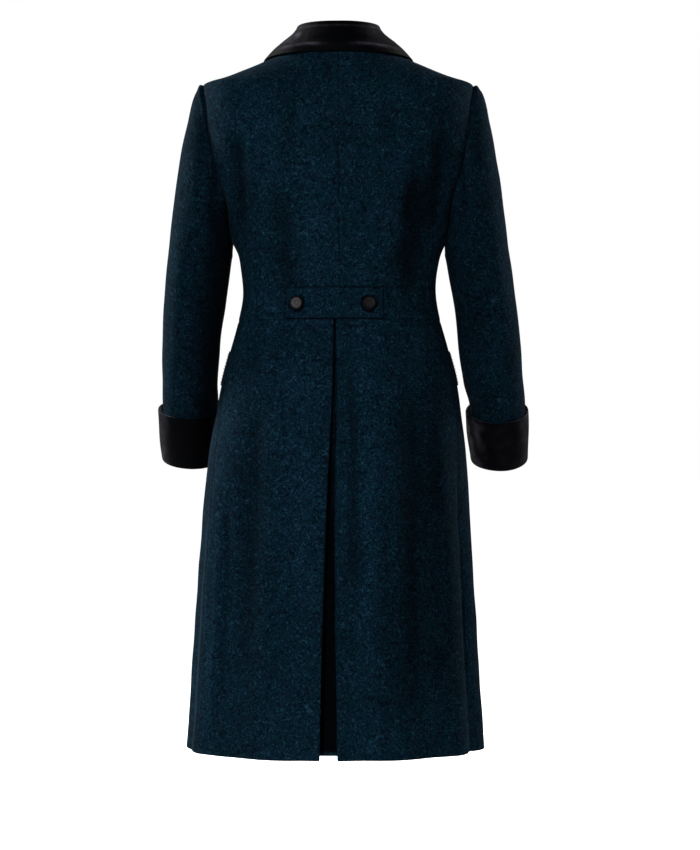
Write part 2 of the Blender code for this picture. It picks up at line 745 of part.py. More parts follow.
def by_quarter(handles, side):
    """Handles for the top, back, underarm and front, shared out round a ring."""
    turns = np.linspace(0, 2 * math.pi, 2 * ARMHOLE_ROWS, endpoint=False)
    cos, sin = np.cos(turns), np.sin(turns)
    weights = np.stack([np.maximum(cos, 0), np.maximum(sin, 0), np.maximum(-cos, 0),
                        np.maximum(-sin, 0)], axis=-1) ** 2
    return weights @ (np.array(handles) * [side, 1, 1])


def sleeve_rings(side):
    """Rings from the armhole to the sleeve's end, with a roped head at the shoulder."""
    edge, edge_normal = armhole_ring(side)
    into = edge.mean(axis=0) - edge
    into = unit(into - (into * edge_normal).sum(axis=1, keepdims=True) * edge_normal)
    start = edge + SEAM_GAP * (into + edge_normal)
    upper = arm_ring(ARM[0][0], side)
    handles = (start, start + by_quarter(HEAD_HANDLES, side),
               upper + by_quarter(ARM_HANDLES, side), upper)
    rings = [bezier(handles, np.full(len(start), share)) for share in SLEEVE_HEAD_SHARES]
    rings += [arm_ring(level, side) for level in SLEEVE_LEVELS]
    points = np.stack(rings)
    return points, side * grid_normals(points, wrap=True)


def sleeve(name, side, first, last):
    """One piece of a sleeve, between two of the lines that run down its rings."""
    points, normals = sleeve_rings(side)
    lines = np.arange(first, last + 1) % points.shape[1]
    points = seam_inset(points[:, lines], bottom=False, top=False)
    wall(name, points, normals[:, lines], WOOL, "wool")


def cuff(name, side):
    """A turned-back cuff: a band round the sleeve that wraps under its end."""
    outside = CUFF_GAP + VELVET
    inward, upward = CUFF_ROUND
    profile = (
        (CUFF_TOP, CUFF_GAP + CUFF_FLARE),
        (CUFF_TOP, outside + CUFF_FLARE),
        (CUFF_MIDDLE, outside + CUFF_FLARE / 2),
        (CUFF_BOTTOM + upward, outside),
        (CUFF_BOTTOM, outside - inward),
        (CUFF_BOTTOM, -WOOL),
        (SLEEVE_END - CUFF_GAP, -WOOL),
        (SLEEVE_END - CUFF_GAP, CUFF_GAP),
        (CUFF_MIDDLE, CUFF_GAP),
    )
    rings = np.stack([arm_ring(level, side, grow) for level, grow in profile])
    rows, columns = rings.shape[:2]
    faces = grid_faces(rows, columns, wrap=True)
    last = (rows - 1) * columns
    faces += [[last + j, last + (j + 1) % columns, (j + 1) % columns, j] for j in range(columns)]
    solid(name, rings.reshape(-1, 3), faces, "velvet")


# Belt, flaps and buttons

def half_belt(name):
    heights = np.linspace(WAIST_SEAM, BELT_TOP, BELT_ROWS)
    heights[0] = BELT_BOTTOM
    ends = [angle_at(np.full_like(heights, x), heights)[:, None] for x in (BELT_LEFT, BELT_RIGHT)]
    inner = side_seam(heights)[:, None] / (BODICE_COLUMNS - 1) * np.array(BELT_PANEL_LINES)
    angles = np.concatenate([ends[0], inner, ends[1]], axis=1)
    lift = np.full(angles.shape, WOOL + LAYER_GAP)
    no_seams = dict(bottom=False, top=False, first=False, last=False)
    points, normals = form_panel(angles, heights[:, None], lift, **no_seams)
    wall(name, points, normals, WOOL, "wool")


def pocket_flap(name, side):
    heights = np.linspace(FLAP_BOTTOM, FLAP_TOP, FLAP_ROWS)
    angles = side * np.radians(np.linspace(FLAP_FROM, FLAP_TO, FLAP_COLUMNS))
    angles = np.broadcast_to(angles, (len(heights), len(angles)))
    lift = np.full(angles.shape, WOOL + LAYER_GAP)
    no_seams = dict(bottom=False, top=False, first=False, last=False)
    points, normals = form_panel(angles, heights[:, None], lift, **no_seams)
    wall(name, points, normals, WOOL, "wool")


def button(name, place, normal, radius):
    """A turned button with a rim, on a short shank, its back towards the cloth."""
    sides = BUTTON_SIDES
    normal = unit(np.array(normal))
    across = unit(np.cross([0, 0, 1.0], normal))
    upward = np.cross(normal, across)
    turns = np.linspace(0, 2 * math.pi, sides, endpoint=False)[:, None]
    ring = np.cos(turns) * across + np.sin(turns) * upward
    points = [place]
    for share, height in BUTTON_PROFILE[1:-1]:
        points += list(place + radius * share * ring + height * normal)
    points.append(place + BUTTON_PROFILE[-1][1] * normal)
    faces = [[0, 1 + j, 1 + (j + 1) % sides] for j in range(sides)]
    faces += grid_faces(len(BUTTON_PROFILE) - 2, sides, 1, wrap=True)
    top = len(points) - 1
    faces += [[top, top - sides + j, top - sides + (j + 1) % sides] for j in range(sides)]
    solid(name, points, faces, "button")


def button_on(name, angle, height, lift, radius):
    """A button on whatever lies this far out of the body."""
    normal = body_normal(angle, height)
    place = body(angle, height) + (lift + SEAM_GAP) * normal
    button(name, place, normal, radius)


def main():
    for old in list(bpy.data.objects):
        bpy.data.objects.remove(old)
    for side, word in ((-1, "left"), (1, "right")):
        bodice_back(f"back_{word}", side)
        bodice_front(f"front_{word}", side)
        skirt_back(f"back_skirt_{word}", side)
        skirt_front(f"front_skirt_{word}", side)
        sleeve(f"top_sleeve_{word}", side, FRONT_ARM_LINE - 2 * ARMHOLE_ROWS, BACK_ARM_LINE)
        sleeve(f"under_sleeve_{word}", side, BACK_ARM_LINE, FRONT_ARM_LINE)
        cuff(f"cuff_{word}", side)
        lapel(f"lapel_{word}", side)
        pocket_flap(f"pocket_flap_{word}", side)
        belt_angle = angle_at(np.array(BELT_BUTTONS[word]), np.array(BELT_BUTTON_Z))
        button_on(f"belt_button_{word}", belt_angle, BELT_BUTTON_Z, WOOL + LAYER_GAP, BELT_BUTTON)
    pleat_underlay("pleat_underlay")
    half_belt("half_belt")
    collar("collar")
    for place, height in enumerate(FRONT_BUTTON_Z, start=1):
        lift = float(overlap_lift(0.0, height))
        button_on(f"front_button_{place}", math.pi, height, lift, FRONT_BUTTON)


main()
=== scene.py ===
"""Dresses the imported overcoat: wool and velvet with creases, seams, stitches, buttons and a stage.

Metres, in the frame of the solids. +Z is up, +Y is the wearer's forward, +X is the wearer's right.
"""

import math

import bpy
import numpy as np
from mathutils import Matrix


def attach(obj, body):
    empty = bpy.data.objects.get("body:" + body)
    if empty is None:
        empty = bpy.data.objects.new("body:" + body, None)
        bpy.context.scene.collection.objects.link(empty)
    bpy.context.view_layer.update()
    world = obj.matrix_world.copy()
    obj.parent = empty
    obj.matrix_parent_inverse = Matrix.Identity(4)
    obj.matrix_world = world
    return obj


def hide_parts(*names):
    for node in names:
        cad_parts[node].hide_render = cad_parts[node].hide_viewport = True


bl_info = {
    "name": "Velvet-collared overcoat",
    "version": (1, 0, 0),
    "blender": (4, 5, 0),
    "location": "View3D > Sidebar > Overcoat",
    "description": "Dresses an overcoat with wool, velvet, creases, seams, stitches and buttons",
    "category": "Object",
}

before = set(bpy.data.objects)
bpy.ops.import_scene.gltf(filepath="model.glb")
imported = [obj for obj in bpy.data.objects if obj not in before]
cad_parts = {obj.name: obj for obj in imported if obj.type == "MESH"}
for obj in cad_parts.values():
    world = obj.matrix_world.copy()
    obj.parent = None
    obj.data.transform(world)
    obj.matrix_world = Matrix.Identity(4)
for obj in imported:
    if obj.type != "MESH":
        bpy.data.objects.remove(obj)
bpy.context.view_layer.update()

# Cloth and seams
WOOL = 0.0025
VELVET = 0.0030
SEAM_GAP = 0.0003
LAYER_GAP = 0.0005
# Sides of the body: which way along X, and the word in the names of pieces
SIDES = ((-1, "left"), (1, "right"))
# The step in angle and height over which the form's direction is measured
SMALL_STEP = 1e-4

# Levels, down from the neck seam
ARMPIT = -0.280
SHOULDER_TIP = -0.060
WAIST_SEAM = -0.460
CHEST = -0.150
HEM = -1.179

# Horizontal sections of the body, each a superellipse:
# height, half width, depth of the back, depth of the front, fullness (2 is an ellipse), middle
FORM = (
    (-1.200, 0.2530, 0.1790, 0.1720, 2.20, -0.0060),
    (-1.017, 0.2410, 0.1690, 0.1630, 2.20, -0.0060),
    (-0.864, 0.2315, 0.1590, 0.1550, 2.20, -0.0050),
    (-0.711, 0.2205, 0.1490, 0.1460, 2.20, -0.0025),
    (-0.635, 0.2110, 0.1430, 0.1400, 2.20, 0.0000),
    (-0.558, 0.1980, 0.1350, 0.1330, 2.20, 0.0015),
    (-0.507, 0.1850, 0.1270, 0.1280, 2.20, 0.0015),
    (-0.456, 0.1705, 0.1180, 0.1240, 2.20, 0.0015),
    (-0.405, 0.1635, 0.1120, 0.1220, 2.20, 0.0015),
    (-0.354, 0.1695, 0.1195, 0.1240, 2.38, 0.0015),
    (-0.310, 0.1800, 0.1245, 0.1270, 2.45, 0.0012),
    (-0.280, 0.1880, 0.1270, 0.1280, 2.50, 0.0010),
    (-0.250, 0.1970, 0.1280, 0.1260, 2.55, 0.0008),
    (-0.210, 0.2120, 0.1280, 0.1200, 2.60, 0.0005),
    (-0.170, 0.2240, 0.1250, 0.1120, 2.60, 0.0002),
    (-0.130, 0.2300, 0.1190, 0.1010, 2.60, 0.0000),
    (-0.100, 0.2310, 0.1120, 0.0900, 2.60, 0.0000),
    (-0.080, 0.2310, 0.1060, 0.0820, 2.60, 0.0000),
    (-0.060, 0.2275, 0.0990, 0.0740, 2.55, 0.0000),
    (-0.050, 0.1985, 0.0950, 0.0700, 2.50, 0.0000),
    (-0.035, 0.1600, 0.0890, 0.0650, 2.40, 0.0000),
    (-0.020, 0.1250, 0.0820, 0.0620, 2.30, 0.0000),
    (0.000, 0.0800, 0.0720, 0.0580, 2.20, 0.0000),
    (0.010, 0.0580, 0.0670, 0.0560, 2.20, 0.0000),
)

# Side seams: height, degrees from the centre back
SIDE_SEAM = (
    (-1.200, 63.0),
    (-0.860, 64.5),
    (-0.640, 70.0),
    (-0.460, 79.0),
    (-0.280, 90.0),
    (0.000, 90.0),
)

# Soft folds of the skirt: middle in degrees from the centre back towards the wearer's right,
# half width in degrees, how far it stands out, level where it starts
FOLDS = (
    (8, 5, -0.003, -0.465),
    (22, 8, 0.005, -0.465),
    (38, 8, -0.004, -0.500),
    (53, 7, 0.006, -0.560),
    (66, 4, -0.007, -0.600),
    (78, 7, 0.004, -0.640),
    (-9, 5, -0.002, -0.465),
    (-22, 8, 0.004, -0.465),
    (-40, 8, -0.003, -0.520),
    (-62, 7, 0.005, -0.600),
    (-74, 5, -0.004, -0.640),
    (112, 10, 0.005, -0.520),
    (130, 8, -0.004, -0.560),
    (150, 9, 0.004, -0.560),
    (-112, 10, 0.005, -0.520),
    (-130, 8, -0.004, -0.560),
    (-150, 9, 0.004, -0.560),
)
# Over what length below its start a fold grows to its full depth
FOLD_GROWTH = 0.350

# Armhole: how far it cuts into the back and the front, in degrees of the section, and the
# power that rounds it (a lower one is squarer)
ARMHOLE_BACK = 20.0
ARMHOLE_FRONT = 30.0
ARMHOLE_ROUND = 0.40
# Rows of the bodice beside it
ARMHOLE_ROWS = 64

# Front edge, roll line and closing
FRONT_EDGE = 0.030
BREAK = -0.325
NECK_FRONT = 0.070
LAPEL_TOP = -0.045
# The left front stands out where it laps over the right one: how far, from what x over what
# width, and from what height up it fades over what length
OVERLAP_LIFT = WOOL + 0.0012
OVERLAP_FROM, OVERLAP_WIDTH = -0.125, 0.060
OVERLAP_END, OVERLAP_FADE = -0.215, 0.100
# And further over the right lapel's roll: from what x and height, over what width and length
BREAK_LIFT = 0.0036
BREAK_FROM, BREAK_WIDTH = -0.105, 0.045
BREAK_BOTTOM, BREAK_RISE = -0.375, 0.045

# Lapel outline on the front, as distance from the centre front and height
GORGE_END = (0.102, -0.078)
LAPEL_TIP = (0.147, -0.110)
LAPEL_BELLY = (0.105, -0.215)
# The radius of its roll, and its gap off the front at the roll and at the outer edge
LAPEL_ROLL = 0.0031
LAPEL_ROLL_GAP = 2 * (LAPEL_ROLL - WOOL)
LAPEL_EDGE_GAP = 0.0008
# Its top edge follows the gorge for this share of its width, this far from the collar, and the
# rows below bend towards that edge by this power of their share of the height
GORGE_SHARE = 0.6
GORGE_GAP = 0.0006
GORGE_CURVE = 6
# The share of the roll line at which it starts
LAPEL_START = 0.04
# Rows up a lapel, the width and step that set its lines across, and lines round its roll
LAPEL_ROWS = 80
LAPEL_WIDTH, LAPEL_STEP = 0.10, 0.0045
LAPEL_ROLL_STEPS = 11

# Collar: its height and lean at the centre back, its play on the neck seam and off the cloth,
# the share of the neck line from which it falls open, and the radius of its roll
COLLAR_HEIGHT = 0.0428
COLLAR_LEAN = 0.38
COLLAR_SEAT = 0.0002
COLLAR_GAP = 0.0009
COLLAR_FALLS_FROM = 0.45
COLLAR_ROLL = 0.0045
# Height and radius at its front end, and the leaf's corner as distance and height
COLLAR_END_HEIGHT = 0.0046
COLLAR_END_ROLL = 0.0036
COLLAR_CORNER = (0.145, -0.070)
# The leaf's edge on the body: share of the way to its corner, angle, height
COLLAR_EDGE = (
    (0.00, 0.00, -0.0155),
    (0.28, 0.62, -0.0170),
    (0.78, 2.27, -0.0360),
)
# Where that edge crosses the shoulder: share of the way, distance from the centre
COLLAR_SHOULDER = (0.56, 0.126)
# Handles of the hanging leaf: lengths as shares of its reach, how far the first leans out, how
# far the second does at shares of the neck line, and how far that one points up
COLLAR_FALL = (0.30, 0.45)
COLLAR_FALL_OUT = 0.05
COLLAR_FALL_END = (
    (0.00, 0.6),
    (0.25, -0.2),
    (0.56, -0.6),
)
COLLAR_FALL_UP = 0.8
# The share of the leaf over which it comes to lie on the body, at the back and in front, and
# the share of the neck line from which its lines turn towards the gorge
COLLAR_SETTLE = (0.4, 0.1)
COLLAR_GORGE_FROM = 0.65
# Lines from the centre back to the front of the neck, then along the roll line to its top
COLLAR_LINES = (46, 20)
# Lines up the stand, round the roll and down the fall, with closer ones at the fall's edge
COLLAR_STAND_LINES = 9
COLLAR_ROLL_STEPS = 13
COLLAR_FALL_STEPS = 24
COLLAR_FALL_EDGE = (0.94, 0.96, 0.975, 0.987, 0.995, 1.0)

# Centre back pleat, at the waist seam and at the hem: half its opening, and where its middle is
PLEAT_WAIST = 0.0012
PLEAT_HEM = 0.0147
PLEAT_MIDDLE_WAIST = -0.0065
PLEAT_MIDDLE_HEM = -0.0095
# The radius of its folded edges, and how wide the cloth is that they fold under
PLEAT_ROLL = 0.0040
PLEAT_ROLL_STEPS = 13
PLEAT_RETURN = 0.040
# Lines on the folded return, from its edge to this share of its width, where the roll takes over
RETURN_LINES, RETURN_END = 10, 0.3
# The underlay laps past that, lies this deep at the waist seam and the hem, and ends above it
UNDERLAY_LAP = 0.004
UNDERLAY_WAIST_DEPTH = 0.0085
UNDERLAY_HEM_DEPTH = 0.0260
UNDERLAY_SHORTER = 0.006
# Painted shade on the underlay deep in the pleat; its less shaded strip by the right fold, where
# more light gets in, as width, how soft its side is and how dark; and the height of its lighter hem,
# where the painted shade fades out
UNDERLAY_SHADE = 0.96
UNDERLAY_STRIP = (0.0085, 0.0020, 0.70)
UNDERLAY_LIGHT_HEM = 0.008

# Sleeve: the arm's centre line and half sizes.
# height, distance from the centre, forward, half width, half depth
ARM = (
    (-0.340, 0.2350, 0.0020, 0.0540, 0.0660),
    (-0.380, 0.2405, 0.0040, 0.0538, 0.0645),
    (-0.420, 0.2463, 0.0090, 0.0530, 0.0630),
    (-0.460, 0.2517, 0.0180, 0.0520, 0.0615),
    (-0.500, 0.2562, 0.0320, 0.0511, 0.0600),
    (-0.550, 0.2610, 0.0520, 0.0498, 0.0585),
    (-0.600, 0.2660, 0.0730, 0.0482, 0.0570),
    (-0.650, 0.2680, 0.0940, 0.0469, 0.0560),
    (-0.700, 0.2700, 0.1150, 0.0456, 0.0550),
)
ARM_STEP = 0.002
SLEEVE_END = -0.6890
# Both arms swing this far towards +X at their ends, from this height down, by this power
ARM_SWING = 0.013
SWING_FROM = -0.330
SWING_CURVE = 1.3
# Handles of the sleeve head, for the top, back, underarm and front: out, forward, up
HEAD_HANDLES = (
    (0.024, 0.000, 0.006),
    (0.018, -0.014, -0.035),
    (0.001, 0.000, -0.020),
    (0.020, 0.014, -0.035),
)
ARM_HANDLES = (
    (-0.014, 0.000, 0.130),
    (-0.010, 0.000, 0.070),
    (0.004, 0.000, 0.025),
    (-0.010, 0.000, 0.070),
)
# The gap between an armhole's edge and its sleeve
SLEEVE_START = 0.0001
# Rings of the head: shares of its length close to the seam, then how many even ones from a share
HEAD_RINGS = (0, 0.003, 0.007, 0.013, 0.021)
EVEN_RINGS, EVEN_FROM = 52, 0.032
# The girth that sets how many lines run down a sleeve, and the points that find the middle of an
# armhole
SLEEVE_GIRTH = 0.36
ARMHOLE_POINTS = 240
# Where the two seams of a sleeve run, as turns from its outer side round the back
BACK_ARM_SEAM = 0.3 * 2 * math.pi
FRONT_ARM_SEAM = 0.7 * 2 * math.pi

# Turn-back cuff: its top, the end of its inner layer and its bottom, how much wider it is at
# the top, and its gap off the sleeve
CUFF_TOP = -0.6090
CUFF_MIDDLE = -0.6480
CUFF_BOTTOM = -0.6925
CUFF_FLARE = 0.0016
CUFF_GAP = 0.0005
CUFF_LEVELS, CUFF_LINES = 20, 140
# Its face swells between the edges: how far, and how square the swelling is
CUFF_SWELL, CUFF_SQUARE = 0.0012, 0.6
# A corner is rounded over this length, but at most this share of the way to the next one
CUFF_CORNER, CORNER_SHARE = 0.0015, 0.45
CUFF_CORNER_STEPS = 3
# How deep in the arm the ring lies that the cuff faces away from, and from what share of its
# thickness out its points count as its face
CUFF_CORE, CUFF_FACE = 0.02, 0.9
# The cuffs and the collar have these shares of the cloth's waves
CUFF_WAVES, COLLAR_WAVES = 1.6, 0.5
# How much fuller each cuff is on its outer and inner side, how much painted sheen it has there and
# between, and how steeply it rises towards the back
CUFF_SHAPE = {
    "left": (0.0040, 0.0000, 0.36, 0.00, 0.00, 0.09),
    "right": (0.0000, 0.0030, 0.32, 0.46, 0.045, 0.00),
}
# Where the painted sheen of the outer and the inner side begins, as a cosine, and how soft it starts
SHEEN_OUTER, SHEEN_INNER = (0.58, 0.36), (0.42, 0.45)
# Crushed velvet: how much its random blotches lighten or darken the painted sheen on each cuff, and
# their lengths
CRUSHED = {"left": 0.30, "right": 0.75}
CRUSHED_LENGTHS = (0.018, 0.040)

# Half belt and its buttons, as distances from the section's middle
BELT_LEFT = -0.0879
BELT_RIGHT = 0.0725
BELT_TOP = -0.408
BELT_BOTTOM = WAIST_SEAM + 0.0005
BELT_BUTTONS = {"left": -0.0688, "right": 0.0486}
BELT_BUTTON_Z = -0.435
BELT_BUTTON = 0.0112
# Painted shade all over each of them; the right one lies in less light
BUTTON_SHADE = {"left": 0.0, "right": 0.80}

# Front buttons
FRONT_BUTTON = 0.0140
FRONT_BUTTON_Z = (-0.345, -0.435, -0.530)

# Pocket flaps, in degrees from the centre back
FLAP_FROM, FLAP_TO = 88.0, 126.0
FLAP_TOP, FLAP_BOTTOM = -0.510, -0.568
FLAP_CLOTH = 0.0014

# Seams: how deep the cloth is drawn in, how wide the valley is, and how dark the painted shade at
# its bottom is
PLAIN_SEAM = (0.0008, 0.0026, 0.55)
WAIST_VALLEY = (0.0008, 0.0026, 0.24)
ARM_SEAM = (0.0003, 0.0020, 0.20)
FRONT_SEAM = (0.0003, 0.0020, 0.65)
CENTRE_SEAM = (0.0006, 0.0022, 0.45)
ARMHOLE_VALLEY = (0.0005, 0.0028)
# Painted shade along each armhole seam, darker on the left, where less light falls
ARMHOLE_SHADE = {"left": 0.50, "right": 0.24}
# Width of the painted shade line along seams and free edges
SEAM_LINE = 0.0013
# A sleeve's seam allowance runs under the bodice: how far, how deep
SEAM_TUCK = (0.0050, 0.0036)
FREE_EDGE = "free"
FREE_EDGES = dict.fromkeys(("bottom", "top", "first", "last"), FREE_EDGE)
# The first edge of a lapel and of the collar lies hidden along its seam
ROLLED_EDGES = dict.fromkeys(("bottom", "top", "last"), FREE_EDGE)
# Where the lines of a panel lie near its edges
EDGE_STOPS = (0.0, 0.0005, 0.0012, 0.0024, 0.0042)
# Points that a row is measured with, and the share of the last stop that counts as inside it
TRIAL_POINTS, JUST_INSIDE = 200, 0.999
# Rows that are the same to this many decimals of a metre are one
ROW_DECIMALS = 7
# A free edge rounds over this share of half the cloth's thickness, and has painted shade this dark
# along it
EDGE_ROUND = 0.88
EDGE_SHADE = 0.40
# Painted shadow along the lower edge and ends of a sewn-on piece: how dark, over what distance
EDGE_SHADOW = (0.85, 0.0010)
# Painted shadow on the cloth round what is sewn on it: how dark, over what distance
BELT_SHADOW = (0.85, 0.0017)
# Painted shadow on the belt round a button: how dark, how far it is full, over what length it fades
BUTTON_SHADOW = (0.93, 0.0026, 0.0020)

# Soft uneven waves all over the cloth: height, wavelengths and how many directions
WAVE_HEIGHT = 0.0005
WAVE_LENGTHS = (0.045, 0.130)
WAVE_COUNT = 14
WAVE_SEED = 7

# Main creases. Side (-1 back, 1 front), start x, start height, end x, end height, half width,
# how far it stands out (a trough is negative), how far its middle strays
BODY_CREASES = (
    (-1, -0.172, -0.130, -0.166, -0.330, 0.013, -0.0055, 0.004),
    (-1, 0.176, -0.120, 0.164, -0.335, 0.016, -0.0065, -0.005),
    (-1, 0.142, -0.160, 0.128, -0.330, 0.013, -0.0030, -0.006),
    (-1, -0.150, -0.330, -0.060, -0.395, 0.010, -0.0022, 0.006),
    (-1, 0.150, -0.320, 0.070, -0.395, 0.011, -0.0028, -0.006),
    (-1, -0.120, -0.370, -0.030, -0.402, 0.008, 0.0014, 0.003),
    (-1, 0.120, -0.385, 0.045, -0.404, 0.007, 0.0016, -0.002),
    (-1, 0.066, -0.4075, 0.135, -0.4035, 0.0025, -0.0012, 0.001),
    (-1, 0.085, -0.070, 0.075, -0.190, 0.014, -0.0020, 0.004),
    (-1, -0.090, -0.085, -0.070, -0.200, 0.016, -0.0016, -0.004),
    (-1, 0.030, -0.120, 0.045, -0.330, 0.016, 0.0022, 0.004),
    (-1, 0.130, -0.200, 0.112, -0.440, 0.026, -0.0076, 0.004),
    (-1, -0.106, -0.230, -0.088, -0.440, 0.028, -0.0046, 0.004),
    (1, -0.160, -0.200, -0.110, -0.330, 0.012, -0.0026, 0.004),
    (1, 0.160, -0.200, 0.112, -0.330, 0.012, -0.0030, -0.004),
    (1, -0.140, -0.400, -0.060, -0.440, 0.009, -0.0016, 0.003),
    (1, 0.140, -0.395, 0.065, -0.440, 0.009, -0.0020, -0.003),
)
SKIRT_CREASES = (
    (-1, -0.078, -0.470, -0.086, -0.800, 0.016, 0.0030, 0.004),
    (-1, 0.021, -0.470, 0.028, -0.960, 0.009, -0.0042, 0.003),
    (-1, 0.064, -0.470, 0.070, -0.900, 0.015, 0.0036, -0.004),
    (-1, 0.116, -0.500, 0.122, -1.150, 0.018, -0.0050, 0.005),
    (-1, 0.168, -0.560, 0.182, -1.160, 0.014, 0.0024, 0.003),
    (-1, 0.160, -0.500, 0.180, -1.190, 0.032, -0.0070, 0.000),
    (-1, 0.075, -0.820, 0.090, -1.170, 0.030, -0.0030, 0.004),
    (-1, -0.128, -0.540, -0.150, -1.100, 0.017, -0.0034, -0.004),
    (-1, -0.040, -0.700, -0.046, -1.150, 0.014, 0.0020, 0.003),
    (-1, -0.192, -0.760, -0.216, -1.170, 0.008, 0.0034, 0.002),
    (-1, -0.180, -0.700, -0.200, -1.150, 0.009, -0.0030, 0.002),
    (1, -0.090, -0.520, -0.100, -0.980, 0.015, 0.0026, 0.004),
    (1, 0.095, -0.520, 0.104, -1.020, 0.015, 0.0026, -0.004),
    (1, -0.150, -0.600, -0.160, -1.120, 0.014, -0.0030, -0.004),
    (1, 0.150, -0.600, 0.165, -1.120, 0.014, -0.0030, 0.004),
)
# As above, with the distance from the centre in place of x
SLEEVE_CREASES = (
    (-1, 0.200, -0.130, 0.206, -0.330, 0.010, -0.0050, 0.004),
    (-1, 0.236, -0.110, 0.230, -0.230, 0.013, -0.0024, -0.004),
    (-1, 0.205, -0.330, 0.250, -0.372, 0.009, -0.0030, 0.004),
    (-1, 0.206, -0.350, 0.262, -0.398, 0.008, 0.0020, 0.004),
    (-1, 0.210, -0.395, 0.268, -0.425, 0.009, -0.0028, 0.005),
    (-1, 0.216, -0.430, 0.270, -0.452, 0.008, 0.0018, 0.004),
    (-1, 0.222, -0.468, 0.276, -0.478, 0.009, -0.0024, 0.004),
    (-1, 0.236, -0.480, 0.248, -0.600, 0.012, -0.0030, 0.004),
    (-1, 0.262, -0.330, 0.272, -0.560, 0.012, 0.0020, 0.004),
    (1, 0.205, -0.220, 0.215, -0.340, 0.010, -0.0030, 0.004),
    (1, 0.214, -0.400, 0.272, -0.430, 0.009, -0.0034, -0.005),
    (1, 0.216, -0.425, 0.278, -0.458, 0.009, 0.0022, -0.005),
    (1, 0.222, -0.455, 0.284, -0.486, 0.009, -0.0030, -0.005),
    (1, 0.226, -0.500, 0.282, -0.520, 0.010, -0.0020, -0.004),
)
# A crease fades over this share of its length at each end, and starts to show and shows fully
# where the cloth faces its side by these cosines
CREASE_ENDS = 0.28
CREASE_TURN = (0.10, 0.55)
# Painted shade in a trough, for each metre of its depth
TROUGH_SHADE = 95.0
DARKEST_TROUGH = 0.70

# The rope of a sleeve head: height, how far from the seam, half width, and how squarely it runs
# out round the sleeve
ROPE = (0.0034, 0.0058, 0.0060, 0.7)
# A sleeve head's own fullness below the rope, and over what length it fades
HEAD_FULLNESS = {"left": 0.0006, "right": 0.0034}
HEAD_LENGTH = (0.004, 0.020, 0.075)
# Cloth gathers under the arm: how far it fills, down to what height it is full, over what length
# it fades below, and how wide it runs on the body, in degrees
ARMPIT_FILL = (0.0055, -0.319, 0.021, 22.0)
# How much fuller the inner side of each arm is, from and to a height
INNER_ARM = {"left": -0.0034, "right": 0.0045}
INNER_ARM_HEIGHTS = (-0.430, -0.500, -0.560, -0.600)
# The inner side of an arm lies in shade: how dark, from what height down, over what length, and
# from what cosine round the arm
INNER_SHADE = {"left": 0.72, "right": 0.30}
INNER_SHADE_FROM = (-0.200, 0.100)
INNER_SHADE_ROUND = 0.40
# The bodice stands up a little under the rope: how far, over what length from the shoulder tip
TIP_LIFT = (0.0016, 0.016)

# Velvet collar: ridge and hollow above the fall edge, as height, distance from it, half width
COLLAR_BENDS = (
    (0.0020, 0.0125, 0.0042),
    (-0.0018, 0.0230, 0.0070),
)
# They are lower at the centre back, by this share, and fade out before the shoulder, at these
# distances from the centre
BENDS_MIDDLE = 0.35
BENDS_RISE = (0.012, 0.050)
BENDS_FADE = (0.075, 0.112)
# Painted highlights on the collar along the ridge and over its top: distance from the fall edge or
# height, half width, how light
RIDGE_HIGHLIGHT = (0.0140, 0.0026, 1.00)
TOP_HIGHLIGHT = (0.0325, 0.0018, 0.40)
# Painted sheen towards its sides: from and to a distance from the centre, how light, over what
# distance from the edge it grows, what share of it is lost in front
SIDE_SHEEN = (0.040, 0.085, 0.12, 0.012, 0.6)
# Painted glints: x, height, half width, how light
PAINTED_GLINTS = (
    (-0.0685, 0.0190, 0.0060, 1.00),
    (-0.0820, 0.0075, 0.0110, 0.45),
    (0.0580, 0.0240, 0.0070, 0.25),
)

# A button's profile: share of its radius, height off the cloth
BUTTON_PROFILE = (
    (0.00, 0.0000),
    (0.18, 0.0000),
    (0.18, 0.0022),
    (0.80, 0.0022),
    (0.93, 0.0026),
    (0.99, 0.0035),
    (1.00, 0.0044),
    (0.97, 0.0052),
    (0.90, 0.0056),
    (0.80, 0.0055),
    (0.76, 0.0053),
    (0.72, 0.0050),
    (0.67, 0.0046),
    (0.61, 0.0043),
    (0.54, 0.0041),
    (0.46, 0.0041),
    (0.38, 0.0041),
    (0.30, 0.0041),
    (0.22, 0.0042),
    (0.12, 0.0043),
    (0.00, 0.0044),
)
BUTTON_SIDES = 56
# Where a button's dark rim begins and how soft its start is, and how dark it is: partly the horn's
# own darker rim and partly painted shade
BUTTON_RIM = (0.73, 0.07, 0.97)
# A worn groove winds once round the face: from and to a share of the radius, half width, how dark
BUTTON_GROOVE = (0.16, 0.50, 0.08, 0.60)

# Stitches: how far their direction strays, the ends of the row down the front edge, and the points
# along and up a panel's frame
STITCH_WANDER = 0.12
FRONT_STITCHES = (HEM + 0.01, BREAK - 0.01)
FRONT_STITCH_POINTS = 160
FRAME_POINTS = (60, 30)
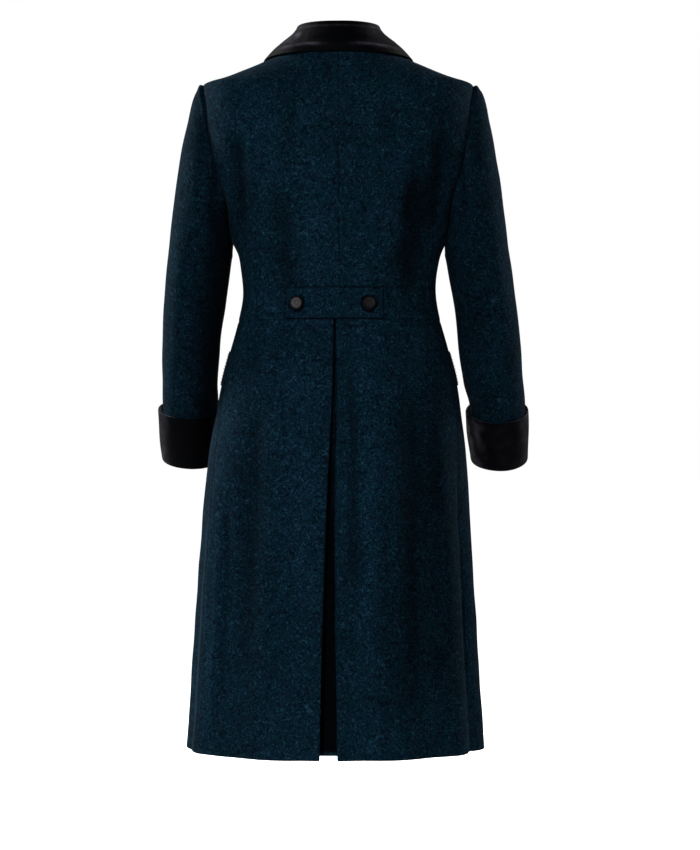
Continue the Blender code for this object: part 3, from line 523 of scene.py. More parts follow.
# The tree that lays them: its sockets, then its nodes as name, kind, settings and inputs, where an
# input is a value or another node's output. A stitch is a ball, stretched to the thread's diameter
# and the stitch's length, that lies along the row
STITCH_SOCKETS = (
    ("Geometry", "INPUT", "Geometry"),
    ("Pitch", "INPUT", "Float"),
    ("Length", "INPUT", "Float"),
    ("Thread", "INPUT", "Float"),
    ("Wander", "INPUT", "Float"),
    ("Finish", "INPUT", "Material"),
    ("Geometry", "OUTPUT", "Geometry"),
)
STITCH_NODES = (
    ("given", "NodeGroupInput", {}, {}),
    ("curve", "GeometryNodeMeshToCurve", {}, {"Mesh": "given.Geometry"}),
    ("evenly", "GeometryNodeResampleCurve", {"mode": "LENGTH"},
     {"Curve": "curve.Curve", "Length": "given.Pitch"}),
    ("ball", "GeometryNodeMeshUVSphere", {}, {"Segments": 6, "Rings": 5, "Radius": 0.5}),
    ("size", "ShaderNodeCombineXYZ", {},
     {"X": "given.Thread", "Y": "given.Thread", "Z": "given.Length"}),
    ("shaped", "GeometryNodeTransform", {}, {"Geometry": "ball.Mesh", "Scale": "size.Vector"}),
    ("tangent", "GeometryNodeInputTangent", {}, {}),
    ("align", "FunctionNodeAlignRotationToVector", {"axis": "Z"}, {"Vector": "tangent.Tangent"}),
    ("low", "ShaderNodeMath", {"operation": "MULTIPLY"}, {0: "given.Wander", 1: -1.0}),
    ("strays", "FunctionNodeRandomValue", {"data_type": "FLOAT_VECTOR"},
     {"Min": "low.Value", "Max": "given.Wander", "Seed": 3}),
    ("tilt", "FunctionNodeRotateRotation", {},
     {"Rotation": "align.Rotation", "Rotate By": "strays.Value"}),
    ("place", "GeometryNodeInstanceOnPoints", {},
     {"Points": "evenly.Curve", "Instance": "shaped.Geometry", "Rotation": "tilt.Rotation"}),
    ("real", "GeometryNodeRealizeInstances", {}, {"Geometry": "place.Instances"}),
    ("finish", "GeometryNodeSetMaterial", {},
     {"Geometry": "real.Geometry", "Material": "given.Finish"}),
    ("result", "NodeGroupOutput", {}, {"Geometry": "finish.Geometry"}),
)

# Uneven lightness: noise scale, detail, distortion, then two marks of noise and brightness
CLOUDS = (15.0, 1.0, 0.0, (0.32, 0.88), (0.68, 1.08))
BANDS = (1.0, 2.0, 0.0, (0.36, 0.82), (0.64, 1.06))
BAND_STRETCH = (24, 24, 1.6)
BRUSHED = (55.0, 1.0, 0.8, (0.36, 0.30), (0.64, 1.00))
HORN_CLOUDS = (260.0, 3.0, 1.5, (0.35, 0.00), (0.65, 1.00))
THREAD_TWIST = (1200.0, 1.0, 0.0, (0.30, 0.50), (0.70, 1.00))
FLOOR_CLOUDS = (0.6, 1.0, 0.0, (0.30, 0.97), (0.70, 1.00))
# Greener and redder places in the wool: noise scale, detail, and their tints
TINTS = (45.0, 1.0, (0.60, 1.08, 0.90), (1.50, 0.92, 1.12))
# Curls of the wool: how they twist, how far their foot and their side lie out as shares of their
# width, how light that side is, width of the light ones, width and scale of the dark ones
CURL_TWIST = 0.6
CURL_FOOT, CURL_SIDE, CURL_LIGHT = 2.0, 0.6, 0.6
LIGHT_CURL = 0.027
DARK_CURL, DARK_CURL_SCALE = 0.045, 0.8
# Fine bumps: noise scale, detail, strength, height
WOOL_NAP = (900.0, 3.0, 0.35, 0.0006)
VELVET_NAP = (1400.0, 2.0, 0.30, 0.0004)
HORN_WEAR = (700.0, 2.0, 0.15, 0.0003)
# Bumps of the curls and of the brushed pile: strength, height
CURL_NAP = (0.25, 0.0004)
BRUSHED_NAP = (0.30, 0.0012)
# Darkest colours: of the wool's painted shade, and of the buttons, where painted shade and their own
# dark rim and groove go
SHADE_BLACK = (0.0001, 0.0003, 0.0006)
RIM_BLACK = (0.0010, 0.0010, 0.0012)
WHITE = (1, 1, 1, 1)
# Sockets of a Mix node for colours: its factor and two colours, and its result
MIX_INPUTS, MIX_RESULT = (0, 6, 7), 2
# Finish of each material
FINISHES = {
    "wool_cloth": {"Roughness": 0.95, "Specular IOR Level": 0.02, "Sheen Weight": 0.030,
                   "Sheen Roughness": 0.20, "Sheen Tint": (0.40, 0.80, 1.0, 1)},
    "velvet_cloth": {"Roughness": 0.70, "Specular IOR Level": 0.03, "Sheen Weight": 0.10,
                     "Sheen Roughness": 0.16, "Sheen Tint": (0.56, 0.72, 1.0, 1)},
    "horn_button": {"Roughness": 0.50, "Specular IOR Level": 0.05},
    "sewing_thread": {"Roughness": 0.90, "Specular IOR Level": 0.03},
    "studio_floor": {"Roughness": 0.90, "Specular IOR Level": 0.10,
                     "Emission Color": WHITE},
}

# Lights: name, place, what it aims at, width, height, watts, how wide its beam is in degrees.
# The key is a tall strip behind a grid, so the light falls off across the sleeves
LIGHTS = (
    ("key", (-1.00, -3.50, -0.10), (-0.002, 0, -0.55), 0.35, 1.9, 2.9, 14.5),
    ("rim_left", (-2.40, 1.10, 1.00), (0, 0, -0.40), 0.5, 1.6, 185, 180),
    ("rim_right", (2.40, 1.30, 1.00), (0, 0, -0.40), 0.5, 1.6, 100, 180),
    ("front_fill", (0.00, 3.20, 0.40), (0, 0, -0.55), 1.6, 1.6, 40, 180),
)
SURROUND = 0.07
FLOOR_REACH = 30.0

# Camera: the photo's height in pixels, metres per pixel at the coat's middle, the point in the
# middle of the picture, the height of the sensor in millimetres, and how far the camera sees
PHOTO_HEIGHT = 850
PIXEL = 0.0017
MIDDLE = (0.0195, 0.0, -0.635)
SENSOR = 36.0
FAR = 100


# What a user can change

def length_property(name, description, default, low, high):
    return bpy.props.FloatProperty(
        name=name, description=description, default=default, min=low, max=high, unit="LENGTH")


def colour_property(name, description, default):
    return bpy.props.FloatVectorProperty(
        name=name, description=description, default=default, size=3, min=0.0, max=1.0,
        subtype="COLOR")


class CoatSizes(bpy.types.PropertyGroup):
    step: length_property("Cloth step", "Size of the cloth's faces", 0.0040, 0.002, 0.02)
    creases: bpy.props.FloatProperty(
        name="Creases", description="How deep the creases are, as a share of their own depth",
        default=1.0, min=0.0, max=2.0, subtype="FACTOR")
    fleck: length_property("Fleck", "Size of the wool's curls", 0.0062, 0.001, 0.02)
    stitch: length_property("Stitch length", "Length of one edge stitch", 0.0030, 0.001, 0.01)
    pitch: length_property("Stitch pitch", "From one edge stitch to the next", 0.0056, 0.002, 0.02)
    thread: length_property("Thread", "Diameter of the sewing thread", 0.0006, 0.0002, 0.002)
    edge: length_property("Stitch margin", "From the edge to its stitches", 0.0055, 0.002, 0.02)
    floor: length_property("Floor", "How far the floor lies below the hem", 0.32, 0.0, 1.0)
    distance: length_property("Camera distance", "From the camera to the coat's middle", 3.6,
                              1.0, 10.0)


class CoatColours(bpy.types.PropertyGroup):
    wool: colour_property("Wool", "Ground colour of the wool", (0.0015, 0.0086, 0.0158))
    curl: colour_property("Curls", "Dark curls in the wool", (0.0005, 0.0025, 0.0052))
    speck: colour_property("Light curls", "Light curls in the wool", (0.0078, 0.0305, 0.0485))
    velvet: colour_property("Velvet", "Ground colour of the velvet", (0.0001, 0.0003, 0.0008))
    # The velvet's lighter brushed colour, also the colour of its painted highlights and sheen
    pile_and_sheen: colour_property("Pile", "Brushed pile of the velvet", (0.0400, 0.0390, 0.0510))
    button: colour_property("Button", "Horn of the buttons", (0.060, 0.058, 0.062))
    rim: colour_property("Button hollow", "Darker hollow of the buttons", (0.026, 0.025, 0.027))
    thread: colour_property("Thread", "Sewing thread", (0.0022, 0.0095, 0.0165))
    floor: colour_property("Floor", "Pale floor", (0.86, 0.86, 0.86))


# Curves and sections

def unit(vectors):
    return vectors / np.linalg.norm(vectors, axis=-1, keepdims=True)


def square_to(vectors, normals):
    """Unit vectors that point the way of these, turned square to normals."""
    return unit(vectors - (vectors * normals).sum(axis=-1, keepdims=True) * normals)


def smoothstep(share):
    share = np.clip(share, 0.0, 1.0)
    return share * share * (3 - 2 * share)


def bell(away, width):
    return np.exp(-((away / width) ** 2))


def between(start, end, share):
    return start + (end - start) * share


def arc(first, corner, last, t):
    return (1 - t) ** 2 * first + 2 * t * (1 - t) * corner + t**2 * last


def bezier(points, t):
    a, b, c, d = points
    return (1 - t) ** 3 * a + 3 * t * (1 - t) ** 2 * b + 3 * t**2 * (1 - t) * c + t**3 * d


def along_rows(rows, height):
    """A table's columns at these heights, on curves that don't overshoot its rows."""
    table = np.array(sorted(rows))
    knots, values = table[:, 0], table[:, 1:]
    rise = np.diff(values, axis=0) / np.diff(knots)[:, None]
    product = rise[1:] * rise[:-1]
    total = np.where(product > 0, rise[1:] + rise[:-1], 1.0)
    inner = np.where(product > 0, 2 * product / total, 0.0)
    slope = np.vstack([rise[:1], inner, rise[-1:]])
    height = np.asarray(height, float)
    i = np.clip(np.searchsorted(knots, height) - 1, 0, len(knots) - 2)
    step = (knots[i + 1] - knots[i])[..., None]
    t = (height[..., None] - knots[i][..., None]) / step
    return (
        (2 * t**3 - 3 * t**2 + 1) * values[i]
        + (t**3 - 2 * t**2 + t) * step * slope[i]
        + (3 * t**2 - 2 * t**3) * values[i + 1]
        + (t**3 - t**2) * step * slope[i + 1]
    )


def drape(angle, height):
    """How far the skirt's soft folds stand out of its plain section."""
    out = np.zeros(np.broadcast(angle, height).shape)
    for middle, half_width, depth, start in FOLDS:
        turn = np.remainder(np.degrees(angle) - middle + 180, 360) - 180
        out += depth * smoothstep((start - height) / FOLD_GROWTH) * bell(turn, half_width)
    return out


def body(angle, height):
    """Points of the coat's outer surface. Angle 0 is the centre back, and it grows towards +X."""
    angle, height = np.broadcast_arrays(np.asarray(angle, float), np.asarray(height, float))
    half, back, front, fullness, middle = np.moveaxis(along_rows(FORM, height), -1, 0)
    power = 2 / fullness
    across = np.sign(np.sin(angle)) * np.abs(np.sin(angle)) ** power
    along = -np.sign(np.cos(angle)) * np.abs(np.cos(angle)) ** power
    depth = np.where(np.cos(angle) > 0, back, front)
    out = unit(np.stack([across / half, along / depth], axis=-1)) * drape(angle, height)[..., None]
    x = middle + half * across + out[..., 0]
    return np.stack([x, depth * along + out[..., 1], height], axis=-1)


def body_normal(angle, height):
    around = body(angle + SMALL_STEP, height) - body(angle - SMALL_STEP, height)
    upward = body(angle, height + SMALL_STEP) - body(angle, height - SMALL_STEP)
    return unit(np.cross(around, upward))


def half_and_fullness(height):
    sections = along_rows(FORM, height)
    return sections[..., 0], sections[..., 3]


def angle_at(x, height):
    """The angle of the point of the back's section that is x from the section's middle."""
    half, fullness = half_and_fullness(height)
    share = np.clip(np.abs(x) / half, 0.0, 1.0) ** (fullness / 2)
    return np.sign(x) * np.arcsin(share)


def front_angle(x, height, side):
    """As angle_at on the front, for a panel of this side that may run past the centre front."""
    half, fullness = half_and_fullness(height)
    share = np.clip(x * side / half, -1.0, 1.0)
    turn = np.sign(share) * np.arcsin(np.abs(share) ** (fullness / 2))
    return side * (math.pi - turn)


def overlap_lift(x, height):
    """How far the left front stands out, where it laps over the right front and its lapel."""
    lap = OVERLAP_LIFT * smoothstep((x - OVERLAP_FROM) / OVERLAP_WIDTH)
    bulk = BREAK_LIFT * smoothstep((x - BREAK_FROM) / BREAK_WIDTH)
    bulk = bulk * smoothstep((height - BREAK_BOTTOM) / BREAK_RISE)
    return (lap + bulk) * (1 - smoothstep((height - OVERLAP_END) / OVERLAP_FADE))


def front_lift(angles, heights, side):
    if side > 0:
        return np.zeros(angles.shape)
    heights = np.broadcast_to(heights, angles.shape)
    return overlap_lift(body(angles, heights)[..., 0], heights)


def armhole_cut(height):
    """The share of the full armhole cut at a height, from 0 at its ends to 1."""
    share = np.clip((height - ARMPIT) / (SHOULDER_TIP - ARMPIT), 0.0, 1.0)
    return (4 * share * (1 - share)) ** ARMHOLE_ROUND


def side_seam(height):
    return np.radians(along_rows(SIDE_SEAM, height)[..., 0])


def front_edge(height):
    """Distance past the centre front of a front's edge: straight, then along the roll line."""
    return between(FRONT_EDGE, -NECK_FRONT, np.clip((height - BREAK) / -BREAK, 0.0, 1.0))


# Cloth surfaces

def sizes():
    return bpy.context.scene.coat_sizes


def colours():
    return bpy.context.scene.coat_colours


def stops(length, step=None):
    """Shares along a line of this length: close together near its ends, then evenly spread."""
    step = step or sizes().step
    edge = np.array(EDGE_STOPS)
    inner = np.linspace(edge[-1], length - edge[-1], max(3, round(length / step)))
    return np.concatenate([edge[:-1], inner, length - edge[-2::-1]]) / length


def line_lengths(points, axis):
    """Distance of each point of a grid from its first one along an axis."""
    steps = np.linalg.norm(np.diff(points, axis=axis), axis=-1)
    lengths = np.cumsum(steps, axis=axis)
    start = np.zeros_like(np.take(lengths, [0], axis=axis))
    return np.concatenate([start, lengths], axis=axis)


def even_angles(first, last, heights):
    """Angles of a panel's points, evenly spread in length along each row, closer at the edges."""
    trial = between(first[:, None], last[:, None], np.linspace(0, 1, TRIAL_POINTS))
    lengths = line_lengths(body(trial, heights[:, None]), axis=1)
    longest = lengths[:, -1].max()
    shares = stops(longest)
    near = np.minimum(shares, 1 - shares) * longest
    reach = EDGE_STOPS[-1]
    edge = near < reach * JUST_INSIDE
    rows = []
    for row, length in zip(trial, lengths):
        total = length[-1]
        places = np.interp(shares, (reach / longest, 1 - reach / longest),
                           (reach / total, 1 - reach / total))
        places = np.where(edge & (shares < 0.5), near / total, places)
        places = np.where(edge & (shares > 0.5), 1 - near / total, places)
        rows.append(np.interp(places * total, length, row))
    return np.array(rows)


def grid_normals(points, wrap=False):
    """Normals of a grid of points, on the side that columns crossed with rows point to."""
    if wrap:
        around = np.roll(points, -1, axis=1) - np.roll(points, 1, axis=1)
    else:
        around = np.gradient(points, axis=1)
    return unit(np.cross(around, np.gradient(points, axis=0)))


def waves(points, height=WAVE_HEIGHT, lengths=WAVE_LENGTHS):
    """Small uneven waves of the cloth, the same wherever a point lies."""
    chance = np.random.default_rng(WAVE_SEED)
    total = np.zeros(points.shape[:-1])
    for _ in range(WAVE_COUNT):
        direction = unit(chance.normal(size=3))
        length = chance.uniform(*lengths)
        start = chance.uniform(0, 2 * math.pi)
        total += np.sin(points @ direction * 2 * math.pi / length + start)
    return height * total / math.sqrt(WAVE_COUNT)


def crease_lift(points, normals, rows, mirror=1):
    """How far soft creases lift a surface. Mirror is the side of the body that it is on."""
    lift = np.zeros(points.shape[:-1])
    place = points[..., (0, 2)] * [mirror, 1]
    turned, full = CREASE_TURN
    for side, x1, z1, x2, z2, half_width, depth, bow in rows:
        start, end = np.array([x1, z1]), np.array([x2, z2])
        length = np.linalg.norm(end - start)
        along = (end - start) / length
        share = (place - start) @ along / length
        away = (place - start) @ [-along[1], along[0]] - bow * 4 * share * (1 - share)
        ends = smoothstep(share / CREASE_ENDS) * smoothstep((1 - share) / CREASE_ENDS)
        seen = smoothstep((side * normals[..., 1] - turned) / (full - turned))
        lift += depth * ends * seen * bell(away, half_width)
    return lift * sizes().creases


def trough_shade(folds):
    return np.clip(-folds * TROUGH_SHADE, 0, DARKEST_TROUGH)


def edge_distances(points):
    """Distances of a grid's points from its four edges."""
    across, upward = line_lengths(points, axis=1), line_lengths(points, axis=0)
    return {
        "first": across,
        "last": across[:, -1:] - across,
        "bottom": upward,
        "top": upward[-1:] - upward,
    }


def edge_shadow(points, edges):
    """Painted shadow along some of a sewn-on piece's edges."""
    shade, reach = EDGE_SHADOW
    distances = edge_distances(points)
    return np.max([shade * bell(distances[edge], reach) for edge in edges], axis=0)


# Meshes

def link(name, data):
    made = bpy.data.objects.new(name, data)
    bpy.context.scene.collection.objects.link(made)
    return made


def mesh_object(name, points, faces, dark=None):
    mesh = bpy.data.meshes.new(name)
    mesh.from_pydata(np.asarray(points).tolist(), [], faces)
    mesh.shade_smooth()
    # Painted shade per point, and on velvet the lack of painted highlights; on buttons also their
    # own marks
    if dark is not None:
        mesh.attributes.new("dark", "FLOAT", "POINT").data.foreach_set("value", dark)
    return link(name, mesh)


def closed(index, axis):
    """A grid of numbers with its first line repeated as its last."""
    return np.concatenate([index, np.take(index, [0], axis=axis)], axis=axis)


def quads_of(index):
    """Corners of the faces between the lines of a grid of numbers."""
    quads = np.stack([index[:-1, :-1], index[:-1, 1:], index[1:, 1:], index[1:, :-1]], axis=-1)
    return quads.reshape(-1, 4)


def shell(name, outer, inner, normals, dark):
    """A closed mesh between two grids, its faces turned outwards."""
    count = dark.size
    index = np.arange(count).reshape(dark.shape)
    quads = quads_of(index)
    faces = [quads, quads[:, ::-1] + count]
    for rim in (index[0, ::-1], index[-1], index[:, 0], index[::-1, -1]):
        faces.append(np.stack([rim[:-1], rim[1:], rim[1:] + count, rim[:-1] + count], axis=-1))
    faces = np.concatenate(faces)
    points = np.concatenate([outer.reshape(-1, 3), inner.reshape(-1, 3)])
    a, b, c = (points[quads[:, k]] for k in range(3))
    if (np.cross(b - a, c - a) * normals.reshape(-1, 3)[quads[:, 0]]).sum() < 0:
        faces = faces[:, ::-1]
    return mesh_object(name, points, faces.tolist(), np.tile(dark.ravel(), 2))


def dress(piece, finish, slot, *nodes):
    """Gives a piece its material and lets it take the place of solids."""
    piece.data.materials.clear()
    piece.data.materials.append(material(finish))
    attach(piece, "root")
    if nodes:
        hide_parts(*nodes)


def make_sheet(node, outer, normals, edges, dark, slot="wool",
               thickness=WOOL):
    """A cloth piece in a solid's place, drawn in at its seams and rounded at its free edges, with
    painted shade along both.
    """
    distances = edge_distances(outer)
    radius = EDGE_ROUND * thickness / 2
    sunk, rounded = np.zeros(dark.shape), np.zeros(dark.shape)
    for edge, kind in edges.items():
        away = distances[edge]
        if kind is FREE_EDGE:
            shade = EDGE_SHADE
            over = np.clip(1 - away / radius, 0, 1)
            rounded = np.maximum(rounded, radius * (1 - np.sqrt(1 - over**2)))
        else:
            depth, width, shade = kind
            sunk = np.maximum(sunk, depth * bell(away, width))
        # Painted shade along each seam's valley and each free edge
        dark = np.maximum(dark, shade * bell(away, SEAM_LINE))
    inner = outer - (thickness - rounded)[..., None] * normals
    face = outer - (sunk + rounded)[..., None] * normals
    piece = shell(f"{node}_cloth", face, inner, normals, dark)
    dress(piece, f"{slot}_cloth", slot, node)


# Materials

def add_node(tree, kind, **inputs):
    node = tree.nodes.new(kind)
    for name, value in inputs.items():
        node.inputs[name].default_value = value
    return node


def noise(tree, place, scale, detail, distortion=0.0):
    node = add_node(tree, "ShaderNodeTexNoise", Scale=scale, Detail=detail, Distortion=distortion)
    tree.links.new(place, node.inputs["Vector"])
    return node.outputs["Fac"]


def ramp(tree, value, *stops_at):
    """A grey ramp from pairs of place and brightness."""
    node = tree.nodes.new("ShaderNodeValToRGB")
    marks = node.color_ramp.elements
    while len(marks) < len(stops_at):
        marks.new(0.5)
    for mark, (place, bright) in zip(marks, stops_at):
        mark.position = place
        mark.color = (bright, bright, bright, 1)
    tree.links.new(value, node.inputs["Fac"])
    return node.outputs["Color"]


def uneven(tree, place, scale, detail, distortion, *marks):
    return ramp(tree, noise(tree, place, scale, detail, distortion), *marks)


def mix(tree, factor, first, second, blend="MIX"):
    """Mixes two colours, each a socket or a plain colour, by a socket or a number."""
    node = tree.nodes.new("ShaderNodeMix")
    node.data_type = "RGBA"
    node.blend_type = blend
    for place, value in zip(MIX_INPUTS, (factor, first, second)):
        if isinstance(value, bpy.types.NodeSocket):
            tree.links.new(value, node.inputs[place])
        else:
            node.inputs[place].default_value = (*value, 1) if place else value
    return node.outputs[MIX_RESULT]


def with_marks_and_painted_light(tree, ground, black):
    """The ground colour, as near to black as the mesh's dark attribute says: painted shade, the lack
    of painted highlights, and the buttons' own marks.
    """
    node = tree.nodes.new("ShaderNodeAttribute")
    node.attribute_name = "dark"
    return mix(tree, node.outputs["Fac"], ground, black)


def bump(tree, height, strength, distance, below=None):
    node = add_node(tree, "ShaderNodeBump", Strength=strength, Distance=distance)
    tree.links.new(height, node.inputs["Height"])
    if below:
        tree.links.new(below, node.inputs["Normal"])
    return node.outputs["Normal"]


def fine_bump(tree, place, scale, detail, strength, distance):
    return bump(tree, noise(tree, place, scale, detail), strength, distance)


def curls(tree, place, scale, width):
    """Thin curly lines where a twisted noise passes through its middle."""
    foot, side = CURL_FOOT * width, CURL_SIDE * width
    return uneven(tree, place, scale, 0.0, CURL_TWIST, (0.5 - foot, 0), (0.5 - side, CURL_LIGHT),
                  (0.5, 1), (0.5 + side, CURL_LIGHT), (0.5 + foot, 0))


def wool_look(tree, place):
    """Boiled wool: dark and light curls on a dark ground, cloudy, tinted and faintly banded."""
    size = 1 / sizes().fleck
    light = curls(tree, place, size, LIGHT_CURL)
    ground = mix(tree, light, colours().wool, colours().speck)
    dark = curls(tree, place, size * DARK_CURL_SCALE, DARK_CURL)
    ground = mix(tree, dark, ground, colours().curl)
    lengthwise = add_node(tree, "ShaderNodeMapping", Scale=BAND_STRETCH)
    tree.links.new(place, lengthwise.inputs["Vector"])
    scale, detail, *tints = TINTS
    for layer in (
        uneven(tree, place, *CLOUDS),
        uneven(tree, lengthwise.outputs["Vector"], *BANDS),
        mix(tree, noise(tree, place, scale, detail), *tints),
    ):
        ground = mix(tree, 1.0, ground, layer, "MULTIPLY")
    nap = bump(tree, light, *CURL_NAP, fine_bump(tree, place, *WOOL_NAP))
    # Painted shade from the mesh, down to near black
    return with_marks_and_painted_light(tree, ground, SHADE_BLACK), nap


def velvet_look(tree, place):
    """Cotton velvet: nearly black, with a randomly brushed nap, and painted highlights and sheen
    from the mesh.
    """
    brushed = uneven(tree, place, *BRUSHED)
    ground = mix(tree, brushed, colours().velvet, colours().pile_and_sheen)
    nap = bump(tree, brushed, *BRUSHED_NAP, fine_bump(tree, place, *VELVET_NAP))
    return with_marks_and_painted_light(tree, ground, colours().velvet), nap


def button_look(tree, place):
    """Dull grey horn, cloudy, with a dark groove mark, a rim that is partly darker horn and partly
    painted shade, and painted shade where the mesh says.
    """
    ground = mix(tree, uneven(tree, place, *HORN_CLOUDS), colours().rim, colours().button)
    return with_marks_and_painted_light(tree, ground, RIM_BLACK), fine_bump(tree, place, *HORN_WEAR)


def thread_look(tree, place):
    twist = uneven(tree, place, *THREAD_TWIST)
    return mix(tree, 1.0, colours().thread, twist, "MULTIPLY"), None


def floor_look(tree, place):
    """Pale, and white where the camera sees it."""
    path = tree.nodes.new("ShaderNodeLightPath")
    glow = tree.nodes["Principled BSDF"].inputs["Emission Strength"]
    tree.links.new(path.outputs["Is Camera Ray"], glow)
    even = uneven(tree, place, *FLOOR_CLOUDS)
    return mix(tree, 1.0, colours().floor, even, "MULTIPLY"), None


LOOKS = {
    "wool_cloth": wool_look,
    "velvet_cloth": velvet_look,
    "horn_button": button_look,
    "sewing_thread": thread_look,
    "studio_floor": floor_look,
}


def material(name):
    """A material with its finish, colour and bumps, made when it is first asked for."""
    found = bpy.data.materials.get(name)
    if found:
        return found
    made = bpy.data.materials.new(name)
    made.use_nodes = True
    tree = made.node_tree
    inputs = tree.nodes["Principled BSDF"].inputs
    for socket, value in FINISHES[name].items():
        inputs[socket].default_value = value
    place = tree.nodes.new("ShaderNodeTexCoord").outputs["Object"]
    colour, nap = LOOKS[name](tree, place)
    tree.links.new(colour, inputs["Base Color"])
    if nap:
        tree.links.new(nap, inputs["Normal"])
    return made


# Body panels

def panel_heights(low, high, *marks):
    """Heights of a panel's rows, close together at its ends and at the marks between them."""
    ends = (low, *marks, high)
    parts = [between(a, b, stops(b - a)) for a, b in zip(ends, ends[1:])]
    return np.unique(np.concatenate(parts).round(ROW_DECIMALS))


def form_panel(angles, heights, lift=0.0, creases=()):
    """Outer points and normals of a panel that lies on the body, and the painted shade in its
    troughs.
    """
    heights = np.broadcast_to(heights[:, None], angles.shape)
    normals = body_normal(angles, heights)
    points = body(angles, heights) + np.asarray(lift)[..., None] * normals
    folds = crease_lift(points, normals, creases)
    points = points + (waves(points) + folds)[..., None] * normals
    return points, normals, trough_shade(folds)


def bodice_heights():
    """Rows of the bodice: even up to the armhole, then closer where its edge turns quickly."""
    low = panel_heights(WAIST_SEAM, ARMPIT, BELT_TOP)
    arm = between(ARMPIT, SHOULDER_TIP, (1 - np.cos(np.linspace(0, math.pi, ARMHOLE_ROWS))) / 2)
    high = SHOULDER_TIP * (1 - stops(-SHOULDER_TIP))
    return np.concatenate([low, arm[1:], high[1:]])


def shadow_round_belt(points):
    """Painted shadow on the back just outside the half belt."""
    middle = along_rows(FORM, points[..., 2])[..., 4]
    across = points[..., 0] - middle
    off_x = np.maximum(BELT_LEFT - across, across - BELT_RIGHT)
    off_z = np.maximum(BELT_BOTTOM - points[..., 2], points[..., 2] - BELT_TOP)
    dark, reach = BELT_SHADOW
    return dark * bell(np.hypot(np.maximum(off_x, 0), np.maximum(off_z, 0)), reach)


def bodice_edge(heights, word):
    """The valley along a bodice's outer edge: side seam, then armhole, then shoulder."""
    heights = heights[:, None]
    armhole = armhole_cut(heights) > 0
    depth, width, shade = (
        np.where(armhole, a, b) for a, b in zip((*ARMHOLE_VALLEY, ARMHOLE_SHADE[word]), PLAIN_SEAM))
    near_tip = smoothstep((SHOULDER_TIP - heights) / TIP_LIFT[1])
    return np.where(armhole, depth * near_tip, depth), width, shade


def armpit_fill(height):
    depth, middle, half, _ = ARMPIT_FILL
    below = np.minimum(height - middle, 0)
    return depth * bell(below, half) * smoothstep((ARMPIT - height) / half)


def arm_lift(angles, heights, side):
    """How far the bodice stands out under the rope of the sleeve head, and in the armpit."""
    height, reach = TIP_LIFT
    away = np.linalg.norm(body(angles, heights) - body(side * math.pi / 2, SHOULDER_TIP), axis=-1)
    off_side = np.degrees(angles) * side - 90
    return height * bell(away, reach) + armpit_fill(heights) * bell(off_side, ARMPIT_FILL[3])


def bodice(side, word):
    """A back and a front above the waist seam, each cut out at the armhole."""
    heights = bodice_heights()
    edge = bodice_edge(heights, word)
    back, outer = (
        side * (side_seam(heights) + math.radians(reach) * armhole_cut(heights))
        for reach in (-ARMHOLE_BACK, ARMHOLE_FRONT))
    inner = front_angle(-side * front_edge(heights), heights, side)
    for part, first, last, ends in (
        ("back", np.zeros_like(heights), back, {"first": CENTRE_SEAM, "last": edge}),
        ("front", outer, inner, {"first": edge, "last": FREE_EDGE}),
    ):
        angles = even_angles(first, last, heights)
        lift = arm_lift(angles, heights[:, None], side)
        if part == "front":
            lift = lift + front_lift(angles, heights[:, None], side)
        points, normals, dark = form_panel(angles, heights, lift, BODY_CREASES)
        if part == "back":
            dark = np.maximum(dark, shadow_round_belt(points))
        edges = {"bottom": WAIST_VALLEY, "top": PLAIN_SEAM, **ends}
        make_sheet(f"{part}_{word}", points, normals, edges, dark)


class COAT_OT_bodice(bpy.types.Operator):
    """Makes the backs and fronts above the waist seam"""

    bl_idname = "coat.bodice"
    bl_label = "Bodice"

    def execute(self, context):
        for side, word in SIDES:
            bodice(side, word)
        return {"FINISHED"}


# Skirt

def down_from_waist(at_waist, at_hem, height):
    """A size that grows evenly from the waist seam to the hem."""
    return at_waist + (at_hem - at_waist) * (WAIST_SEAM - height) / (WAIST_SEAM - HEM)


def pleat_place(height):
    """The pleat's middle, and how far from it the folded edges curve back."""
    middle = down_from_waist(PLEAT_MIDDLE_WAIST, PLEAT_MIDDLE_HEM, height)
    return middle, down_from_waist(PLEAT_WAIST, PLEAT_HEM, height) + PLEAT_ROLL


def underlay_depth(height):
    return down_from_waist(UNDERLAY_WAIST_DEPTH, UNDERLAY_HEM_DEPTH, height)


